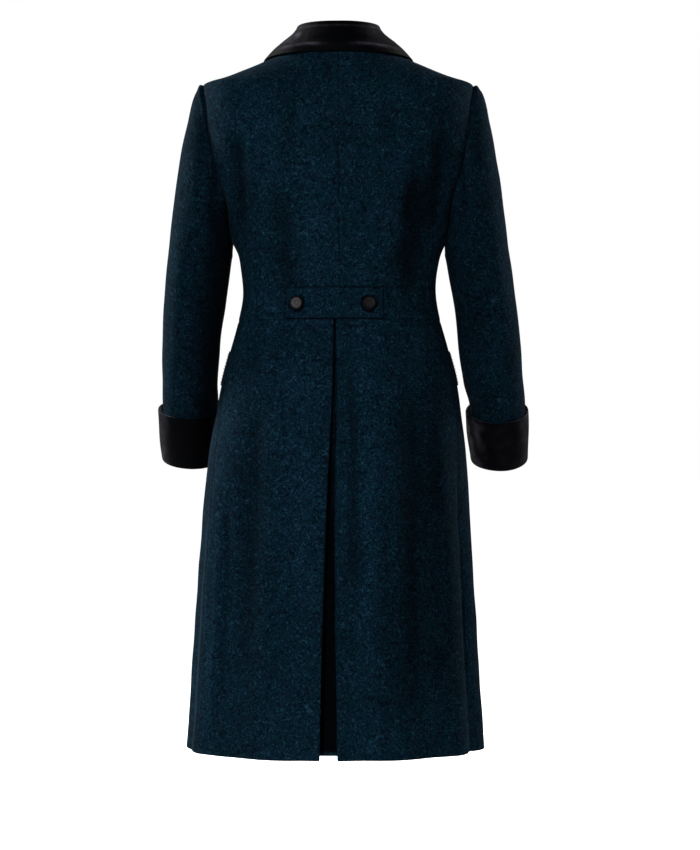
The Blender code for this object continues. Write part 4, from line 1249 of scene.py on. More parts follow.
def skirt_back(side, word):
    """A back panel of the skirt, folded in at the pleat and turned back under itself."""
    heights = panel_heights(HEM, WAIST_SEAM)
    middle, fold = pleat_place(heights)
    start = angle_at(middle + side * fold, heights)
    angles = even_angles(start, side * side_seam(heights), heights)
    points, normals, dark = form_panel(angles, heights, creases=SKIRT_CREASES)
    dark = np.maximum(dark, shadow_round_belt(points))

    base, inward = points[:, 0], -normals[:, 0]
    centrewards = unit(np.cross(inward, [0, 0, -side]))
    columns, facing = [], []
    for share in np.linspace(1.0, RETURN_END, RETURN_LINES):
        angle = angle_at(middle + side * (fold + PLEAT_RETURN * share), heights)
        depth = between(2 * PLEAT_ROLL, underlay_depth(heights), share)
        facing.append(-body_normal(angle, heights))
        columns.append(body(angle, heights) + depth[:, None] * facing[-1])
    for turn in np.linspace(math.pi, 0, PLEAT_ROLL_STEPS)[:-1]:
        deep, across = PLEAT_ROLL * (1 - math.cos(turn)), PLEAT_ROLL * math.sin(turn)
        columns.append(base + deep * inward + across * centrewards)
        facing.append(unit(-math.cos(turn) * inward + math.sin(turn) * centrewards))
    points = np.concatenate([np.stack(columns, axis=1), points], axis=1)
    normals = np.concatenate([np.stack(facing, axis=1), normals], axis=1)
    # Painted shade on the folded return, deep in the pleat, fading towards the folded edge
    inside = np.tile(UNDERLAY_SHADE * np.linspace(1, 0, len(columns)), (len(heights), 1))
    dark = np.concatenate([inside, dark], axis=1)
    edges = {**FREE_EDGES, "top": WAIST_VALLEY, "last": PLAIN_SEAM}
    make_sheet(f"back_skirt_{word}", points, normals, edges, dark)


def skirt_front(side, word):
    heights = panel_heights(HEM, WAIST_SEAM)
    inner = front_angle(np.full_like(heights, -side * FRONT_EDGE), heights, side)
    angles = even_angles(side * side_seam(heights), inner, heights)
    lift = front_lift(angles, heights[:, None], side)
    points, normals, dark = form_panel(angles, heights, lift, SKIRT_CREASES)
    edges = {**FREE_EDGES, "top": WAIST_VALLEY, "first": PLAIN_SEAM}
    make_sheet(f"front_skirt_{word}", points, normals, edges, dark)


def pleat_underlay():
    heights = panel_heights(HEM + UNDERLAY_SHORTER, WAIST_SEAM)
    middle, fold = pleat_place(heights)
    reach = fold + PLEAT_RETURN + UNDERLAY_LAP
    first, last = (angle_at(middle + way * reach, heights) for way in (-1, 1))
    angles = even_angles(first, last, heights)
    lift = np.broadcast_to(-(underlay_depth(heights) + LAYER_GAP)[:, None], angles.shape)
    points, normals, _ = form_panel(angles, heights, lift)
    # Painted shade deep in the pleat, less in the strip by the right fold and fading out at the hem
    width, soft, shade = UNDERLAY_STRIP
    strip = smoothstep((points[..., 0] - (middle + fold - PLEAT_ROLL - width)[:, None]) / soft)
    dark = between(UNDERLAY_SHADE, shade, strip)
    dark = dark * smoothstep((points[..., 2] - points[0, 0, 2]) / UNDERLAY_LIGHT_HEM)
    edges = {**FREE_EDGES, "top": WAIST_VALLEY}
    make_sheet("pleat_underlay", points, normals, edges, dark)


class COAT_OT_skirt(bpy.types.Operator):
    """Makes the skirt's panels and the underlay of its pleat"""

    bl_idname = "coat.skirt"
    bl_label = "Skirt"

    def execute(self, context):
        for side, word in SIDES:
            skirt_back(side, word)
            skirt_front(side, word)
        pleat_underlay()
        return {"FINISHED"}


# Sleeves and cuffs

def armhole_ring(turns, side):
    """Points of the armhole's edge, from the shoulder tip down the back and up the front."""
    heights = between(ARMPIT, SHOULDER_TIP, (1 + np.cos(turns)) / 2)
    reach = np.where(np.sin(turns) > 0, -math.radians(ARMHOLE_BACK), math.radians(ARMHOLE_FRONT))
    angles = side * (side_seam(heights) + reach * armhole_cut(heights))
    return body(angles, heights), body_normal(angles, heights)


def arm_ring(turns, height, side, grow=0.0):
    """A ring round the arm, square to it, from its outer side round the back."""
    here, below = along_rows(ARM, np.array([height, height - ARM_STEP]))
    swing = ARM_SWING * (max(SWING_FROM - height, 0.0) / (SWING_FROM - SLEEVE_END)) ** SWING_CURVE
    centre = np.array([side * here[0] + swing, here[1], height])
    down = unit(np.array([side * (below[0] - here[0]), below[1] - here[1], -ARM_STEP]))
    outward = unit(np.array([side, 0, 0]) - side * down[0] * down)
    back = -side * unit(np.cross(outward, down))
    return (
        centre
        + (here[2] + grow) * np.cos(turns)[:, None] * outward
        + (here[3] + grow) * np.sin(turns)[:, None] * back
    )


def by_quarter(turns, handles, side):
    """Handles for the top, back, underarm and front, shared out round a ring."""
    cos, sin = np.cos(turns), np.sin(turns)
    weights = np.maximum(np.stack([cos, sin, -cos, -sin], axis=-1), 0) ** 2
    return weights @ (np.array(handles) * [side, 1, 1])


def sleeve_turns():
    """Turns of a sleeve's lines, from the front seam over the top to the back seam and on."""
    first, last = FRONT_ARM_SEAM - 2 * math.pi, BACK_ARM_SEAM
    return [
        between(a, b, stops(SLEEVE_GIRTH * (b - a) / (2 * math.pi)))
        for a, b in ((first, last), (last, FRONT_ARM_SEAM))
    ]


def sleeve_rings(turns, side):
    """Rings from the armhole to the sleeve's end, with a roped head at the shoulder."""
    all_round = np.linspace(0, 2 * math.pi, ARMHOLE_POINTS, endpoint=False)
    middle = armhole_ring(all_round, side)[0].mean(axis=0)
    edge, edge_normal = armhole_ring(turns, side)
    start = edge + SLEEVE_START * square_to(middle - edge, edge_normal)
    upper = arm_ring(turns, ARM[0][0], side)
    handles = (start, start + by_quarter(turns, HEAD_HANDLES, side),
               upper + by_quarter(turns, ARM_HANDLES, side), upper)
    shares = np.concatenate([HEAD_RINGS, np.linspace(EVEN_FROM, 1, EVEN_RINGS)])
    rings = [bezier(handles, share) for share in shares]
    length = ARM[0][0] - SLEEVE_END
    levels = np.linspace(ARM[0][0], SLEEVE_END, round(length / sizes().step) + 1)[1:]
    rings += [arm_ring(turns, level, side) for level in levels]
    return np.stack(rings)


def inner_arm(height, turns, word):
    """How far the underside of a sleeve stands out, in the armpit and along the inner arm."""
    start, full, still, end = INNER_ARM_HEIGHTS
    along = smoothstep((start - height) / (start - full))
    along = along * smoothstep((height - end) / (still - end))
    return np.maximum(-np.cos(turns), 0) ** 2 * (armpit_fill(height) + INNER_ARM[word] * along)


def rope(points, turns, word):
    """A sleeve head's ridge just past its seam, highest over the shoulder, and its fullness."""
    height, place, width, round_by = ROPE
    away = line_lengths(points, axis=0)
    start, full, end = HEAD_LENGTH
    fullness = smoothstep((away - start) / (full - start))
    fullness *= 1 - smoothstep((away - full) / (end - full))
    ridge = height * bell(away - place, width) * smoothstep(away / place)
    return np.maximum(np.cos(turns), 0) ** round_by * (ridge + HEAD_FULLNESS[word] * fullness)


def sleeve(side, word):
    """A top and an under sleeve, their seam allowance tucked in under the bodice."""
    top, under = sleeve_turns()
    turns = np.concatenate([top, under[1:-1]])
    rings = sleeve_rings(turns, side)
    normals = side * grid_normals(rings, wrap=True)
    folds = crease_lift(rings, normals, SLEEVE_CREASES, side)
    fullness = rope(rings, turns, word) + inner_arm(rings[..., 2], turns, word)
    rings = rings + (waves(rings) + fullness + folds)[..., None] * normals
    start, length = INNER_SHADE_FROM
    shaded = smoothstep(INNER_SHADE_ROUND - np.cos(turns))
    shaded = shaded * smoothstep((start - rings[..., 2]) / length)
    dark = np.maximum(trough_shade(folds), INNER_SHADE[word] * shaded)

    _, body_normals = armhole_ring(turns, side)
    reach, depth = SEAM_TUCK
    tucked = rings[0] + reach * square_to(rings[0] - rings[1], body_normals) - depth * body_normals
    rings = np.concatenate([tucked[None], rings])
    normals = np.concatenate([body_normals[None], normals])
    dark = np.concatenate([dark[:1], dark])
    away = line_lengths(rings, axis=0)
    away = away - away[1]
    depth, width = ARMHOLE_VALLEY
    shallow = 1 - smoothstep(np.cos(turns))
    rings = rings - (depth * shallow * bell(away, width))[..., None] * normals
    dark = np.maximum(dark, ARMHOLE_SHADE[word] * bell(away, SEAM_LINE))
    lines = np.arange(len(turns) + 1) % len(turns)
    for kind, part, first, last in (
        ("top", lines[: len(top)], FRONT_SEAM, ARM_SEAM),
        ("under", lines[len(top) - 1 :], ARM_SEAM, FRONT_SEAM),
    ):
        edges = {"top": FREE_EDGE, "first": first, "last": last}
        make_sheet(f"{kind}_sleeve_{word}", rings[:, part], normals[:, part], edges, dark[:, part])


class COAT_OT_sleeves(bpy.types.Operator):
    """Makes the top and under sleeves"""

    bl_idname = "coat.sleeves"
    bl_label = "Sleeves"

    def execute(self, context):
        for side, word in SIDES:
            sleeve(side, word)
        return {"FINISHED"}


def rounded_profile(corners):
    """A closed profile from corners, each rounded as far as its neighbours leave room."""
    corners = np.array(corners, float)
    made = []
    for before, here, after in zip(np.roll(corners, 1, 0), corners, np.roll(corners, -1, 0)):
        start, end = (
            here + unit(way) * min(CUFF_CORNER, np.linalg.norm(way) * CORNER_SHARE)
            for way in (before - here, after - here))
        made += [arc(start, here, end, t) for t in np.linspace(0, 1, CUFF_CORNER_STEPS)]
    return np.array(made)


def cuff(side, word):
    """A turned-back cuff: a thick band round the sleeve that wraps under its end."""
    outside = CUFF_GAP + VELVET
    levels = np.linspace(CUFF_TOP, CUFF_BOTTOM, CUFF_LEVELS)
    bulge = outside + np.interp(levels, (CUFF_BOTTOM, CUFF_TOP), (0.0, CUFF_FLARE))
    bulge += CUFF_SWELL * np.sin(math.pi * np.linspace(0, 1, len(levels))) ** CUFF_SQUARE
    profile = rounded_profile([
        (CUFF_TOP, CUFF_GAP + CUFF_FLARE),
        *zip(levels, bulge),
        (CUFF_BOTTOM, -WOOL),
        (SLEEVE_END - CUFF_GAP, -WOOL),
        (SLEEVE_END - CUFF_GAP, CUFF_GAP),
        (CUFF_MIDDLE, CUFF_GAP),
    ])
    turns = np.linspace(0, 2 * math.pi, CUFF_LINES, endpoint=False)
    rings = np.stack([arm_ring(turns, level, side, grow) for level, grow in profile])
    core = np.stack([arm_ring(turns, level, side, -CUFF_CORE) for level, _ in profile])
    face_out = (profile[:, 1] > outside * CUFF_FACE)[:, None]
    outer, inner, sheen_outer, sheen_inner, sheen_middle, rise = CUFF_SHAPE[word]
    towards, away = np.maximum(np.cos(turns), 0), np.maximum(-np.cos(turns), 0)
    fuller = outer * towards**2 + inner * away**2
    lift = np.where(face_out, waves(rings) * CUFF_WAVES + fuller, 0.0)
    rings = rings + lift[..., None] * unit(rings - core)
    rings[..., 2] -= rise * (rings[..., 1] - rings[..., 1].mean())

    # Painted sheen, lighter towards the outer and inner side, in random crushed blotches
    light = sheen_middle
    for facing, bright, (start, soft) in (
        (towards, sheen_outer, SHEEN_OUTER),
        (away, sheen_inner, SHEEN_INNER),
    ):
        light = light + (bright - sheen_middle) * smoothstep((facing - start) / soft)
    crushed = 1 + waves(rings, CRUSHED[word], CRUSHED_LENGTHS)
    dark = 1 - np.clip(light * crushed, 0, 1)
    index = np.arange(dark.size).reshape(dark.shape)
    faces = quads_of(closed(closed(index, 0), 1))[:, ::side]
    piece = mesh_object(f"cuff_{word}_cloth", rings.reshape(-1, 3), faces.tolist(), dark.ravel())
    dress(piece, "velvet_cloth", "velvet", f"cuff_{word}")


class COAT_OT_cuffs(bpy.types.Operator):
    """Makes the turned-back velvet cuffs"""

    bl_idname = "coat.cuffs"
    bl_label = "Cuffs"

    def execute(self, context):
        for side, word in SIDES:
            cuff(side, word)
        return {"FINISHED"}


# Collar and lapels

def through_gorge(first, last, across):
    """Points from first to last by way of the gorge's end, as distance and height."""
    across = across[:, None]
    gorge = np.array(GORGE_END)
    below = between(first, gorge, across / GORGE_SHARE)
    above = between(gorge, last, (across - GORGE_SHARE) / (1 - GORGE_SHARE))
    return np.where(across <= GORGE_SHARE, below, above)


def lapel(side, word):
    """A lapel turned back along the roll line, its point clear of the collar at the notch."""
    share = np.linspace(LAPEL_START, 1, LAPEL_ROWS)
    height = between(BREAK, LAPEL_TOP, share)
    roll = np.stack([-front_edge(height), height], axis=-1)
    low = np.array([-front_edge(BREAK), BREAK])
    edge = arc(low, np.array(LAPEL_BELLY), np.array(LAPEL_TIP), share[:, None])
    across = stops(LAPEL_WIDTH, LAPEL_STEP)
    flat = between(roll[:, None], edge[:, None], across[:, None])
    pull = (np.linspace(0, 1, LAPEL_ROWS) ** GORGE_CURVE)[:, None, None]
    flat = flat + pull * (through_gorge(roll[-1], edge[-1], across) - flat[-1])
    heights = flat[..., 1]
    angles = front_angle(side * flat[..., 0], heights, side)
    normals = body_normal(angles, heights)
    lift = front_lift(angles, heights, side) + WOOL
    lift = lift + between(LAPEL_ROLL_GAP, LAPEL_EDGE_GAP, across)
    points = body(angles, heights) + lift[..., None] * normals

    edge_normal = normals[:, 0]
    off_edge = unit(np.cross(np.gradient(points[:, 0], axis=0), edge_normal)) * side
    centre = points[:, 0] - LAPEL_ROLL * edge_normal
    turns = np.linspace(math.pi, 0, LAPEL_ROLL_STEPS)[:-1]
    facing = np.stack([math.cos(t) * edge_normal + math.sin(t) * off_edge for t in turns], axis=1)
    points = np.concatenate([centre[:, None] + LAPEL_ROLL * facing, points], axis=1)
    points = points + (SEAM_GAP * off_edge)[:, None]
    points[-1] += GORGE_GAP * unit(points[-2] - points[-1])
    normals = np.concatenate([facing, normals], axis=1)
    # Painted shade along the lapel's top and outer edge
    dark = edge_shadow(points, ("top", "last"))
    make_sheet(f"lapel_{word}", points, normals, ROLLED_EDGES, dark)


def neck_line(count, front_count):
    """Angles and heights of the neck seam, from the centre back to the lapel."""
    level_end = float(front_angle(np.array(NECK_FRONT), np.array(0.0), 1))
    heights = np.linspace(0, LAPEL_TOP, front_count + 1)[1:]
    front = front_angle(-front_edge(heights), heights, 1)
    return (np.concatenate([np.linspace(0, level_end, count), front]),
            np.concatenate([np.zeros(count), heights]))


def collar_edge(share):
    """Where the leaf's edge lies on the body, as angle and height."""
    shoulder = [row for row in FORM if row[0] >= SHOULDER_TIP]
    crossed, reach = COLLAR_SHOULDER
    ridge = np.interp(-reach, [-row[1] for row in shoulder], [row[0] for row in shoulder])
    corner = float(front_angle(np.array(COLLAR_CORNER[0]), np.array(COLLAR_CORNER[1]), 1))
    rows = COLLAR_EDGE + ((crossed, math.pi / 2, ridge), (1.0, corner, COLLAR_CORNER[1]))
    return np.moveaxis(along_rows(rows, share), -1, 0)


def collar_on_body(angles, heights, share, across):
    """The leaf where it lies on the fronts: its end runs along the gorge, then to its corner."""
    edge_angle, edge_height = collar_edge(share)
    angle = between(angles[:, None], edge_angle[:, None], across)
    height = between(heights[:, None], edge_height[:, None], across)
    start = np.array([-front_edge(LAPEL_TOP), LAPEL_TOP])
    end = through_gorge(start, np.array(COLLAR_CORNER), across)
    pull = (np.clip((share - COLLAR_GORGE_FROM) / (1 - COLLAR_GORGE_FROM), 0, 1) ** 2)[:, None]
    angle = angle + pull * (front_angle(end[:, 0], end[:, 1], 1) - angle[-1])
    height = height + pull * (end[:, 1] - height[-1])
    lift = between(VELVET + COLLAR_GAP, 2 * COLLAR_END_ROLL, (1 - across) ** 3)
    return body(angle, height) + lift[:, None] * body_normal(angle, height)


def collar_half():
    """Points of the right half from the centre back, in columns up the stand and down the fall."""
    angles, heights = neck_line(*COLLAR_LINES)
    base, normal = body(angles, heights), body_normal(angles, heights)
    length = line_lengths(base, axis=0)
    share = length / length[-1]
    fallen = smoothstep((share - COLLAR_FALLS_FROM) / (1 - COLLAR_FALLS_FROM))[:, None]

    outward = unit(body_normal(angles, np.full_like(heights, CHEST)) * [1, 1, 0])
    along = np.gradient(base, axis=0)
    along[0] = [1, 0, 0]
    off_edge = unit(np.cross(along, normal))
    off_edge *= np.sign(off_edge[:, 2:3])
    rise = unit((1 - fallen) * (np.array([0, 0, 1.0]) - COLLAR_LEAN * outward) + fallen * off_edge)
    over = square_to((1 - fallen) * outward + fallen * normal, rise)

    height = between(COLLAR_HEIGHT, COLLAR_END_HEIGHT, fallen)
    roll = between(COLLAR_ROLL, COLLAR_END_ROLL, fallen)
    foot = base + (SEAM_GAP + COLLAR_SEAT) * rise - VELVET * over
    top = foot + (height - roll) * rise
    columns = [between(foot, top, t) for t in np.linspace(0, 1, COLLAR_STAND_LINES)]
    centre = top + roll * over
    for turn in np.radians(np.linspace(180, 0, COLLAR_ROLL_STEPS)[1:-1]):
        columns.append(centre + roll * (math.cos(turn) * over + math.sin(turn) * rise))

    edge_angle, edge_height = collar_edge(share)
    edge_normal = body_normal(edge_angle, edge_height)
    edge = body(edge_angle, edge_height) + (VELVET + COLLAR_GAP) * edge_normal
    leave = centre + roll * over
    reach = np.linalg.norm(edge - leave, axis=1, keepdims=True)
    out = np.interp(share, *zip(*COLLAR_FALL_END))[:, None]
    start = leave + reach * COLLAR_FALL[0] * unit(over * COLLAR_FALL_OUT - rise)
    arrive = edge + reach * COLLAR_FALL[1] * unit(edge_normal * out + [0, 0, COLLAR_FALL_UP])
    even = np.linspace(0, COLLAR_FALL_EDGE[0], COLLAR_FALL_STEPS)
    across = np.concatenate([even, COLLAR_FALL_EDGE[1:]])
    lying = collar_on_body(angles, heights, share, across)
    settle = between(*COLLAR_SETTLE, fallen)
    for j, t in enumerate(across):
        hanging = bezier((leave, start, arrive, edge), t)
        columns.append(between(hanging, lying[:, j], fallen * smoothstep(t / settle)))
    half = np.stack(columns, axis=1)
    half[-1] += SEAM_GAP / 2 * unit(half[-2] - half[-1])
    return half


def collar():
    """Stand and fall in one, the left half mirrored, with painted highlights and sheen on its
    velvet.
    """
    half = collar_half()
    points = np.concatenate([(half * [-1, 1, 1])[:0:-1], half], axis=0)
    normals = grid_normals(points)
    off_edge, across = edge_distances(points)["last"], np.abs(points[..., 0])
    rise, fade = (smoothstep((across - a) / (b - a)) for a, b in (BENDS_RISE, BENDS_FADE))
    bends = sum(h * bell(off_edge - d, w) for h, d, w in COLLAR_BENDS)
    bends *= between(BENDS_MIDDLE, 1, rise) * (1 - fade)
    points = points + (waves(points) * COLLAR_WAVES + bends)[..., None] * normals

    # Painted highlights, sheen and glints, kept as the lack of the mesh's dark
    place, width, shine = RIDGE_HIGHLIGHT
    light = shine * bell(off_edge - place, width) * rise * (1 - fade)
    place, width, shine = TOP_HIGHLIGHT
    light += shine * bell(points[..., 2] - place, width)
    start, full, shine, reach, lost = SIDE_SHEEN
    sides = smoothstep((across - start) / (full - start)) * smoothstep(off_edge / reach)
    light += shine * sides * (1 - lost * fade)
    for x, height, width, shine in PAINTED_GLINTS:
        light += shine * bell(np.hypot(points[..., 0] - x, points[..., 2] - height), width)
    dark = 1 - np.clip(light, 0, 1)
    make_sheet("collar", points, normals, ROLLED_EDGES, dark,
               "velvet", VELVET)


class COAT_OT_collar(bpy.types.Operator):
    """Makes the velvet collar and the lapels"""

    bl_idname = "coat.collar"
    bl_label = "Collar and lapels"

    def execute(self, context):
        collar()
        for side, word in SIDES:
            lapel(side, word)
        return {"FINISHED"}


# Belt, flaps and buttons

def plain_panel(node, ends, low, high, thickness=WOOL, marks=()):
    """A panel with four free edges that lies on the body's cloth, with painted shadow round the
    round marks on it, and along its lower edge and ends.
    """
    heights = panel_heights(low, high)
    angles = even_angles(*ends(heights), heights)
    lift = np.full(angles.shape, thickness + LAYER_GAP)
    points, normals, dark = form_panel(angles, heights, lift)
    shade, full, fade = BUTTON_SHADOW
    for centre, radius in marks:
        away = np.linalg.norm(points - centre, axis=-1) - radius - full
        dark = np.maximum(dark, shade * (1 - smoothstep(away / fade)))
    dark = np.maximum(dark, edge_shadow(points, ("bottom", "first", "last")))
    make_sheet(node, points, normals, FREE_EDGES, dark, thickness=thickness)


def belt_ends(heights):
    return [angle_at(np.full_like(heights, x), heights) for x in (BELT_LEFT, BELT_RIGHT)]


def flap_ends(side):
    """The angles of a flap's two ends, as a function of height."""
    first, last = (side * math.radians(degrees) for degrees in (FLAP_FROM, FLAP_TO))
    return lambda heights: (np.full_like(heights, first), np.full_like(heights, last))


def belt_button_angle(x):
    return angle_at(np.array(x), np.array(BELT_BUTTON_Z))


class COAT_OT_belt(bpy.types.Operator):
    """Makes the half belt and the pocket flaps"""

    bl_idname = "coat.belt"
    bl_label = "Half belt and flaps"

    def execute(self, context):
        # Places of the belt's buttons, for the painted shadow round them
        marks = []
        for angle in map(belt_button_angle, BELT_BUTTONS.values()):
            lift = (WOOL + LAYER_GAP) * body_normal(angle, BELT_BUTTON_Z)
            marks.append((body(angle, BELT_BUTTON_Z) + lift, BELT_BUTTON))
        plain_panel("half_belt", belt_ends, BELT_BOTTOM, BELT_TOP,
                    marks=marks)
        for side, word in SIDES:
            plain_panel(f"pocket_flap_{word}", flap_ends(side), FLAP_BOTTOM, FLAP_TOP,
                        FLAP_CLOTH)
        return {"FINISHED"}


def button(name, angle, height, lift, radius, shade_all_over=0.0):
    """A turned button with a rim and a hollow face, on a short shank."""
    normal = body_normal(angle, height)
    place = body(angle, height) + (lift + SEAM_GAP) * normal
    across = unit(np.cross([0, 0, 1.0], normal))
    upward = np.cross(normal, across)
    turns = np.linspace(0, 2 * math.pi, BUTTON_SIDES, endpoint=False)[:, None]
    ring = np.cos(turns) * across + np.sin(turns) * upward
    rings = [place + radius * share * ring + off * normal for share, off in BUTTON_PROFILE[1:-1]]
    points = np.vstack([place, *rings, place + BUTTON_PROFILE[-1][1] * normal])
    index = closed(np.arange(1, len(points) - 1).reshape(len(rings), -1), 1)
    first, last, top = index[0].tolist(), index[-1].tolist(), len(points) - 1
    faces = [(b, a, 0) for a, b in zip(first, first[1:])] + quads_of(index).tolist()
    faces += [(a, b, top) for a, b in zip(last, last[1:])]

    x, y = (points - place) @ across / radius, (points - place) @ upward / radius
    away = np.hypot(x, y)
    # Painted shade all over a button that lies in less light, and at the rim, which is partly the
    # horn's own darker rim
    start, soft, shade = BUTTON_RIM
    dark = np.maximum(shade_all_over, smoothstep((away - start) / soft) * shade)
    start, end, width, shade = BUTTON_GROOVE
    wound = between(start, end, np.arctan2(y, x) / (2 * math.pi) + 0.5)
    dark = np.maximum(dark, shade * bell(away - wound, width))
    dress(mesh_object(f"{name}_horn", points, faces, dark), "horn_button", "button", name)


class COAT_OT_buttons(bpy.types.Operator):
    """Makes the half belt's buttons and the front buttons"""

    bl_idname = "coat.buttons"
    bl_label = "Buttons"

    def execute(self, context):
        for word, x in BELT_BUTTONS.items():
            button(f"belt_button_{word}", belt_button_angle(x), BELT_BUTTON_Z, WOOL + LAYER_GAP,
                   BELT_BUTTON, BUTTON_SHADE[word])
        for place, height in enumerate(FRONT_BUTTON_Z, start=1):
            lift = float(overlap_lift(0.0, height))
            button(f"front_button_{place}", math.pi, height, lift, FRONT_BUTTON)
        return {"FINISHED"}


# Stitches

def stitch_tree():
    """Geometry nodes that lay a row of stitches along edges."""
    tree = bpy.data.node_groups.new("stitch_row", "GeometryNodeTree")
    for name, way, kind in STITCH_SOCKETS:
        tree.interface.new_socket(name, in_out=way, socket_type=f"NodeSocket{kind}")
    nodes = {}
    for name, kind, settings, inputs in STITCH_NODES:
        node = nodes[name] = tree.nodes.new(kind)
        for setting, value in settings.items():
            setattr(node, setting, value)
        for place, value in inputs.items():
            if isinstance(value, str):
                source, output = value.split(".")
                tree.links.new(nodes[source].outputs[output], node.inputs[place])
            else:
                node.inputs[place].default_value = value
    return tree


def stitched(name, path):
    """A row of stitches along a path of points, made a plain mesh."""
    mesh = bpy.data.meshes.new(f"{name}_path")
    mesh.from_pydata(path.tolist(), [(i, i + 1) for i in range(len(path) - 1)], [])
    guide = link(f"{name}_guide", mesh)
    tree = bpy.data.node_groups.get("stitch_row") or stitch_tree()
    modifier = guide.modifiers.new("stitches", "NODES")
    modifier.node_group = tree
    values = {
        "Pitch": sizes().pitch,
        "Length": sizes().stitch,
        "Thread": sizes().thread,
        "Wander": STITCH_WANDER,
        "Finish": material("sewing_thread"),
    }
    for item in tree.interface.items_tree:
        if item.in_out == "INPUT" and item.name in values:
            modifier[item.identifier] = values[item.name]
    view = bpy.context.evaluated_depsgraph_get()
    plain = bpy.data.meshes.new_from_object(guide.evaluated_get(view))
    bpy.data.objects.remove(guide)
    if not plain.polygons:
        raise RuntimeError(f"{name} came out empty")
    plain.name = name
    dress(link(name, plain), "sewing_thread", "wool")


def surface_path(angles, heights, lift):
    points = body(angles, heights)
    return points + (lift + waves(points))[..., None] * body_normal(angles, heights)


def frame_path(ends, low, high):
    """A path round a panel inside its edges. Ends gives the angles of its two sides at heights."""
    margin = sizes().edge
    across = np.linspace(0, 1, FRAME_POINTS[0])
    upward = np.linspace(low + margin, high - margin, FRAME_POINTS[1])
    shares = np.concatenate([across, np.ones_like(upward), across[::-1], np.zeros_like(upward)])
    heights = np.concatenate([np.full_like(across, low + margin), upward,
                              np.full_like(across, high - margin), upward[::-1]])
    first, last = ends(heights)
    inset = margin / np.linalg.norm(body(last, heights) - body(first, heights), axis=-1)
    angles = between(first, last, inset + (1 - 2 * inset) * shares)
    return surface_path(angles, heights, WOOL + LAYER_GAP)


class COAT_OT_stitches(bpy.types.Operator):
    """Lays edge stitches round the half belt and the flaps, and down the front edge"""

    bl_idname = "coat.stitches"
    bl_label = "Stitches"

    def execute(self, context):
        stitched("half_belt_stitches", frame_path(belt_ends, BELT_BOTTOM, BELT_TOP))
        for side, word in SIDES:
            flap = frame_path(flap_ends(side), FLAP_BOTTOM, FLAP_TOP)
            stitched(f"pocket_flap_{word}_stitches", flap)
        heights = np.linspace(*FRONT_STITCHES, FRONT_STITCH_POINTS)
        angles = front_angle(np.full_like(heights, FRONT_EDGE - sizes().edge), heights, -1)
        lift = overlap_lift(body(angles, heights)[..., 0], heights)
        stitched("front_edge_stitches", surface_path(angles, heights, lift))
        return {"FINISHED"}


# Stage

def studio_world():
    """White as seen by the camera, and dimmer as a light."""
    world = bpy.data.worlds.new("studio")
    world.use_nodes = True
    tree = world.node_tree
    seen = tree.nodes["Background"]
    seen.inputs["Color"].default_value = WHITE
    dim = add_node(tree, "ShaderNodeBackground", Color=WHITE, Strength=SURROUND)
    choose = tree.nodes.new("ShaderNodeMixShader")
    path = tree.nodes.new("ShaderNodeLightPath")
    parts = (path.outputs["Is Camera Ray"], dim.outputs[0], seen.outputs[0])
    for given, taken in zip(parts, choose.inputs):
        tree.links.new(given, taken)
    tree.links.new(choose.outputs[0], tree.nodes["World Output"].inputs["Surface"])
    return world


def area_light(name, place, aim, width, height, power, beam):
    lamp = bpy.data.lights.new(name, "AREA")
    lamp.shape = "RECTANGLE"
    lamp.size = width
    lamp.size_y = height
    lamp.energy = power
    lamp.spread = math.radians(beam)
    made = link(name, lamp)
    made.location = place
    x, y, z = np.array(aim) - np.array(place)
    made.rotation_euler = (math.atan2(math.hypot(x, y), -z), 0, math.atan2(-x, y))


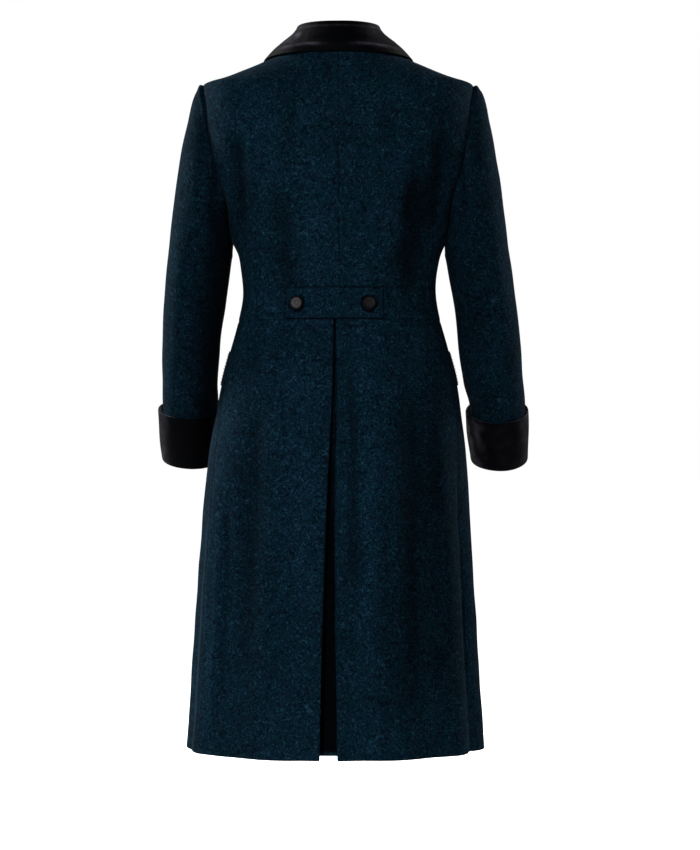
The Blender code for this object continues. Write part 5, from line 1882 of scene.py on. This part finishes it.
class COAT_OT_stage(bpy.types.Operator):
    """Sets the floor, the lights, the world and the camera"""

    bl_idname = "coat.stage"
    bl_label = "Stage"

    def execute(self, context):
        scene = context.scene
        corners = [(x * FLOOR_REACH, y * FLOOR_REACH, HEM - sizes().floor)
                   for x, y in ((-1, -1), (1, -1), (1, 1), (-1, 1))]
        floor = mesh_object("floor", corners, [(0, 1, 2, 3)])
        floor.data.materials.append(material("studio_floor"))

        scene.world = studio_world()
        for lamp in LIGHTS:
            area_light(*lamp)

        lens = bpy.data.cameras.new("camera")
        lens.sensor_fit = "VERTICAL"
        lens.sensor_height = SENSOR
        lens.lens = SENSOR * sizes().distance / (PHOTO_HEIGHT * PIXEL)
        lens.clip_end = FAR
        camera = link("camera", lens)
        camera.location = (MIDDLE[0], MIDDLE[1] - sizes().distance, MIDDLE[2])
        camera.rotation_euler = (math.pi / 2, 0, 0)
        scene.camera = camera
        scene.view_settings.view_transform = "Standard"
        return {"FINISHED"}


class COAT_PT_sidebar(bpy.types.Panel):
    """Lists the coat's sizes, colours and steps"""

    bl_idname = "COAT_PT_sidebar"
    bl_label = "Overcoat"
    bl_space_type = "VIEW_3D"
    bl_region_type = "UI"
    bl_category = "Overcoat"

    def draw(self, context):
        column = self.layout.column()
        for group in (context.scene.coat_sizes, context.scene.coat_colours):
            for name in group.bl_rna.properties.keys():
                if name not in ("rna_type", "name"):
                    column.prop(group, name)
        for step in STEPS:
            column.operator(step.bl_idname)


STEPS = (
    COAT_OT_bodice,
    COAT_OT_skirt,
    COAT_OT_sleeves,
    COAT_OT_cuffs,
    COAT_OT_collar,
    COAT_OT_belt,
    COAT_OT_buttons,
    COAT_OT_stitches,
    COAT_OT_stage,
)
CLASSES = (CoatSizes, CoatColours, *STEPS, COAT_PT_sidebar)


def register():
    for kind in CLASSES:
        bpy.utils.register_class(kind)
    bpy.types.Scene.coat_sizes = bpy.props.PointerProperty(type=CoatSizes)
    bpy.types.Scene.coat_colours = bpy.props.PointerProperty(type=CoatColours)


def unregister():
    del bpy.types.Scene.coat_sizes
    del bpy.types.Scene.coat_colours
    for kind in reversed(CLASSES):
        bpy.utils.unregister_class(kind)


def main():
    register()
    for step in STEPS:
        group, name = step.bl_idname.split(".")
        getattr(getattr(bpy.ops, group), name)()


if __name__ == "__main__":
    main()
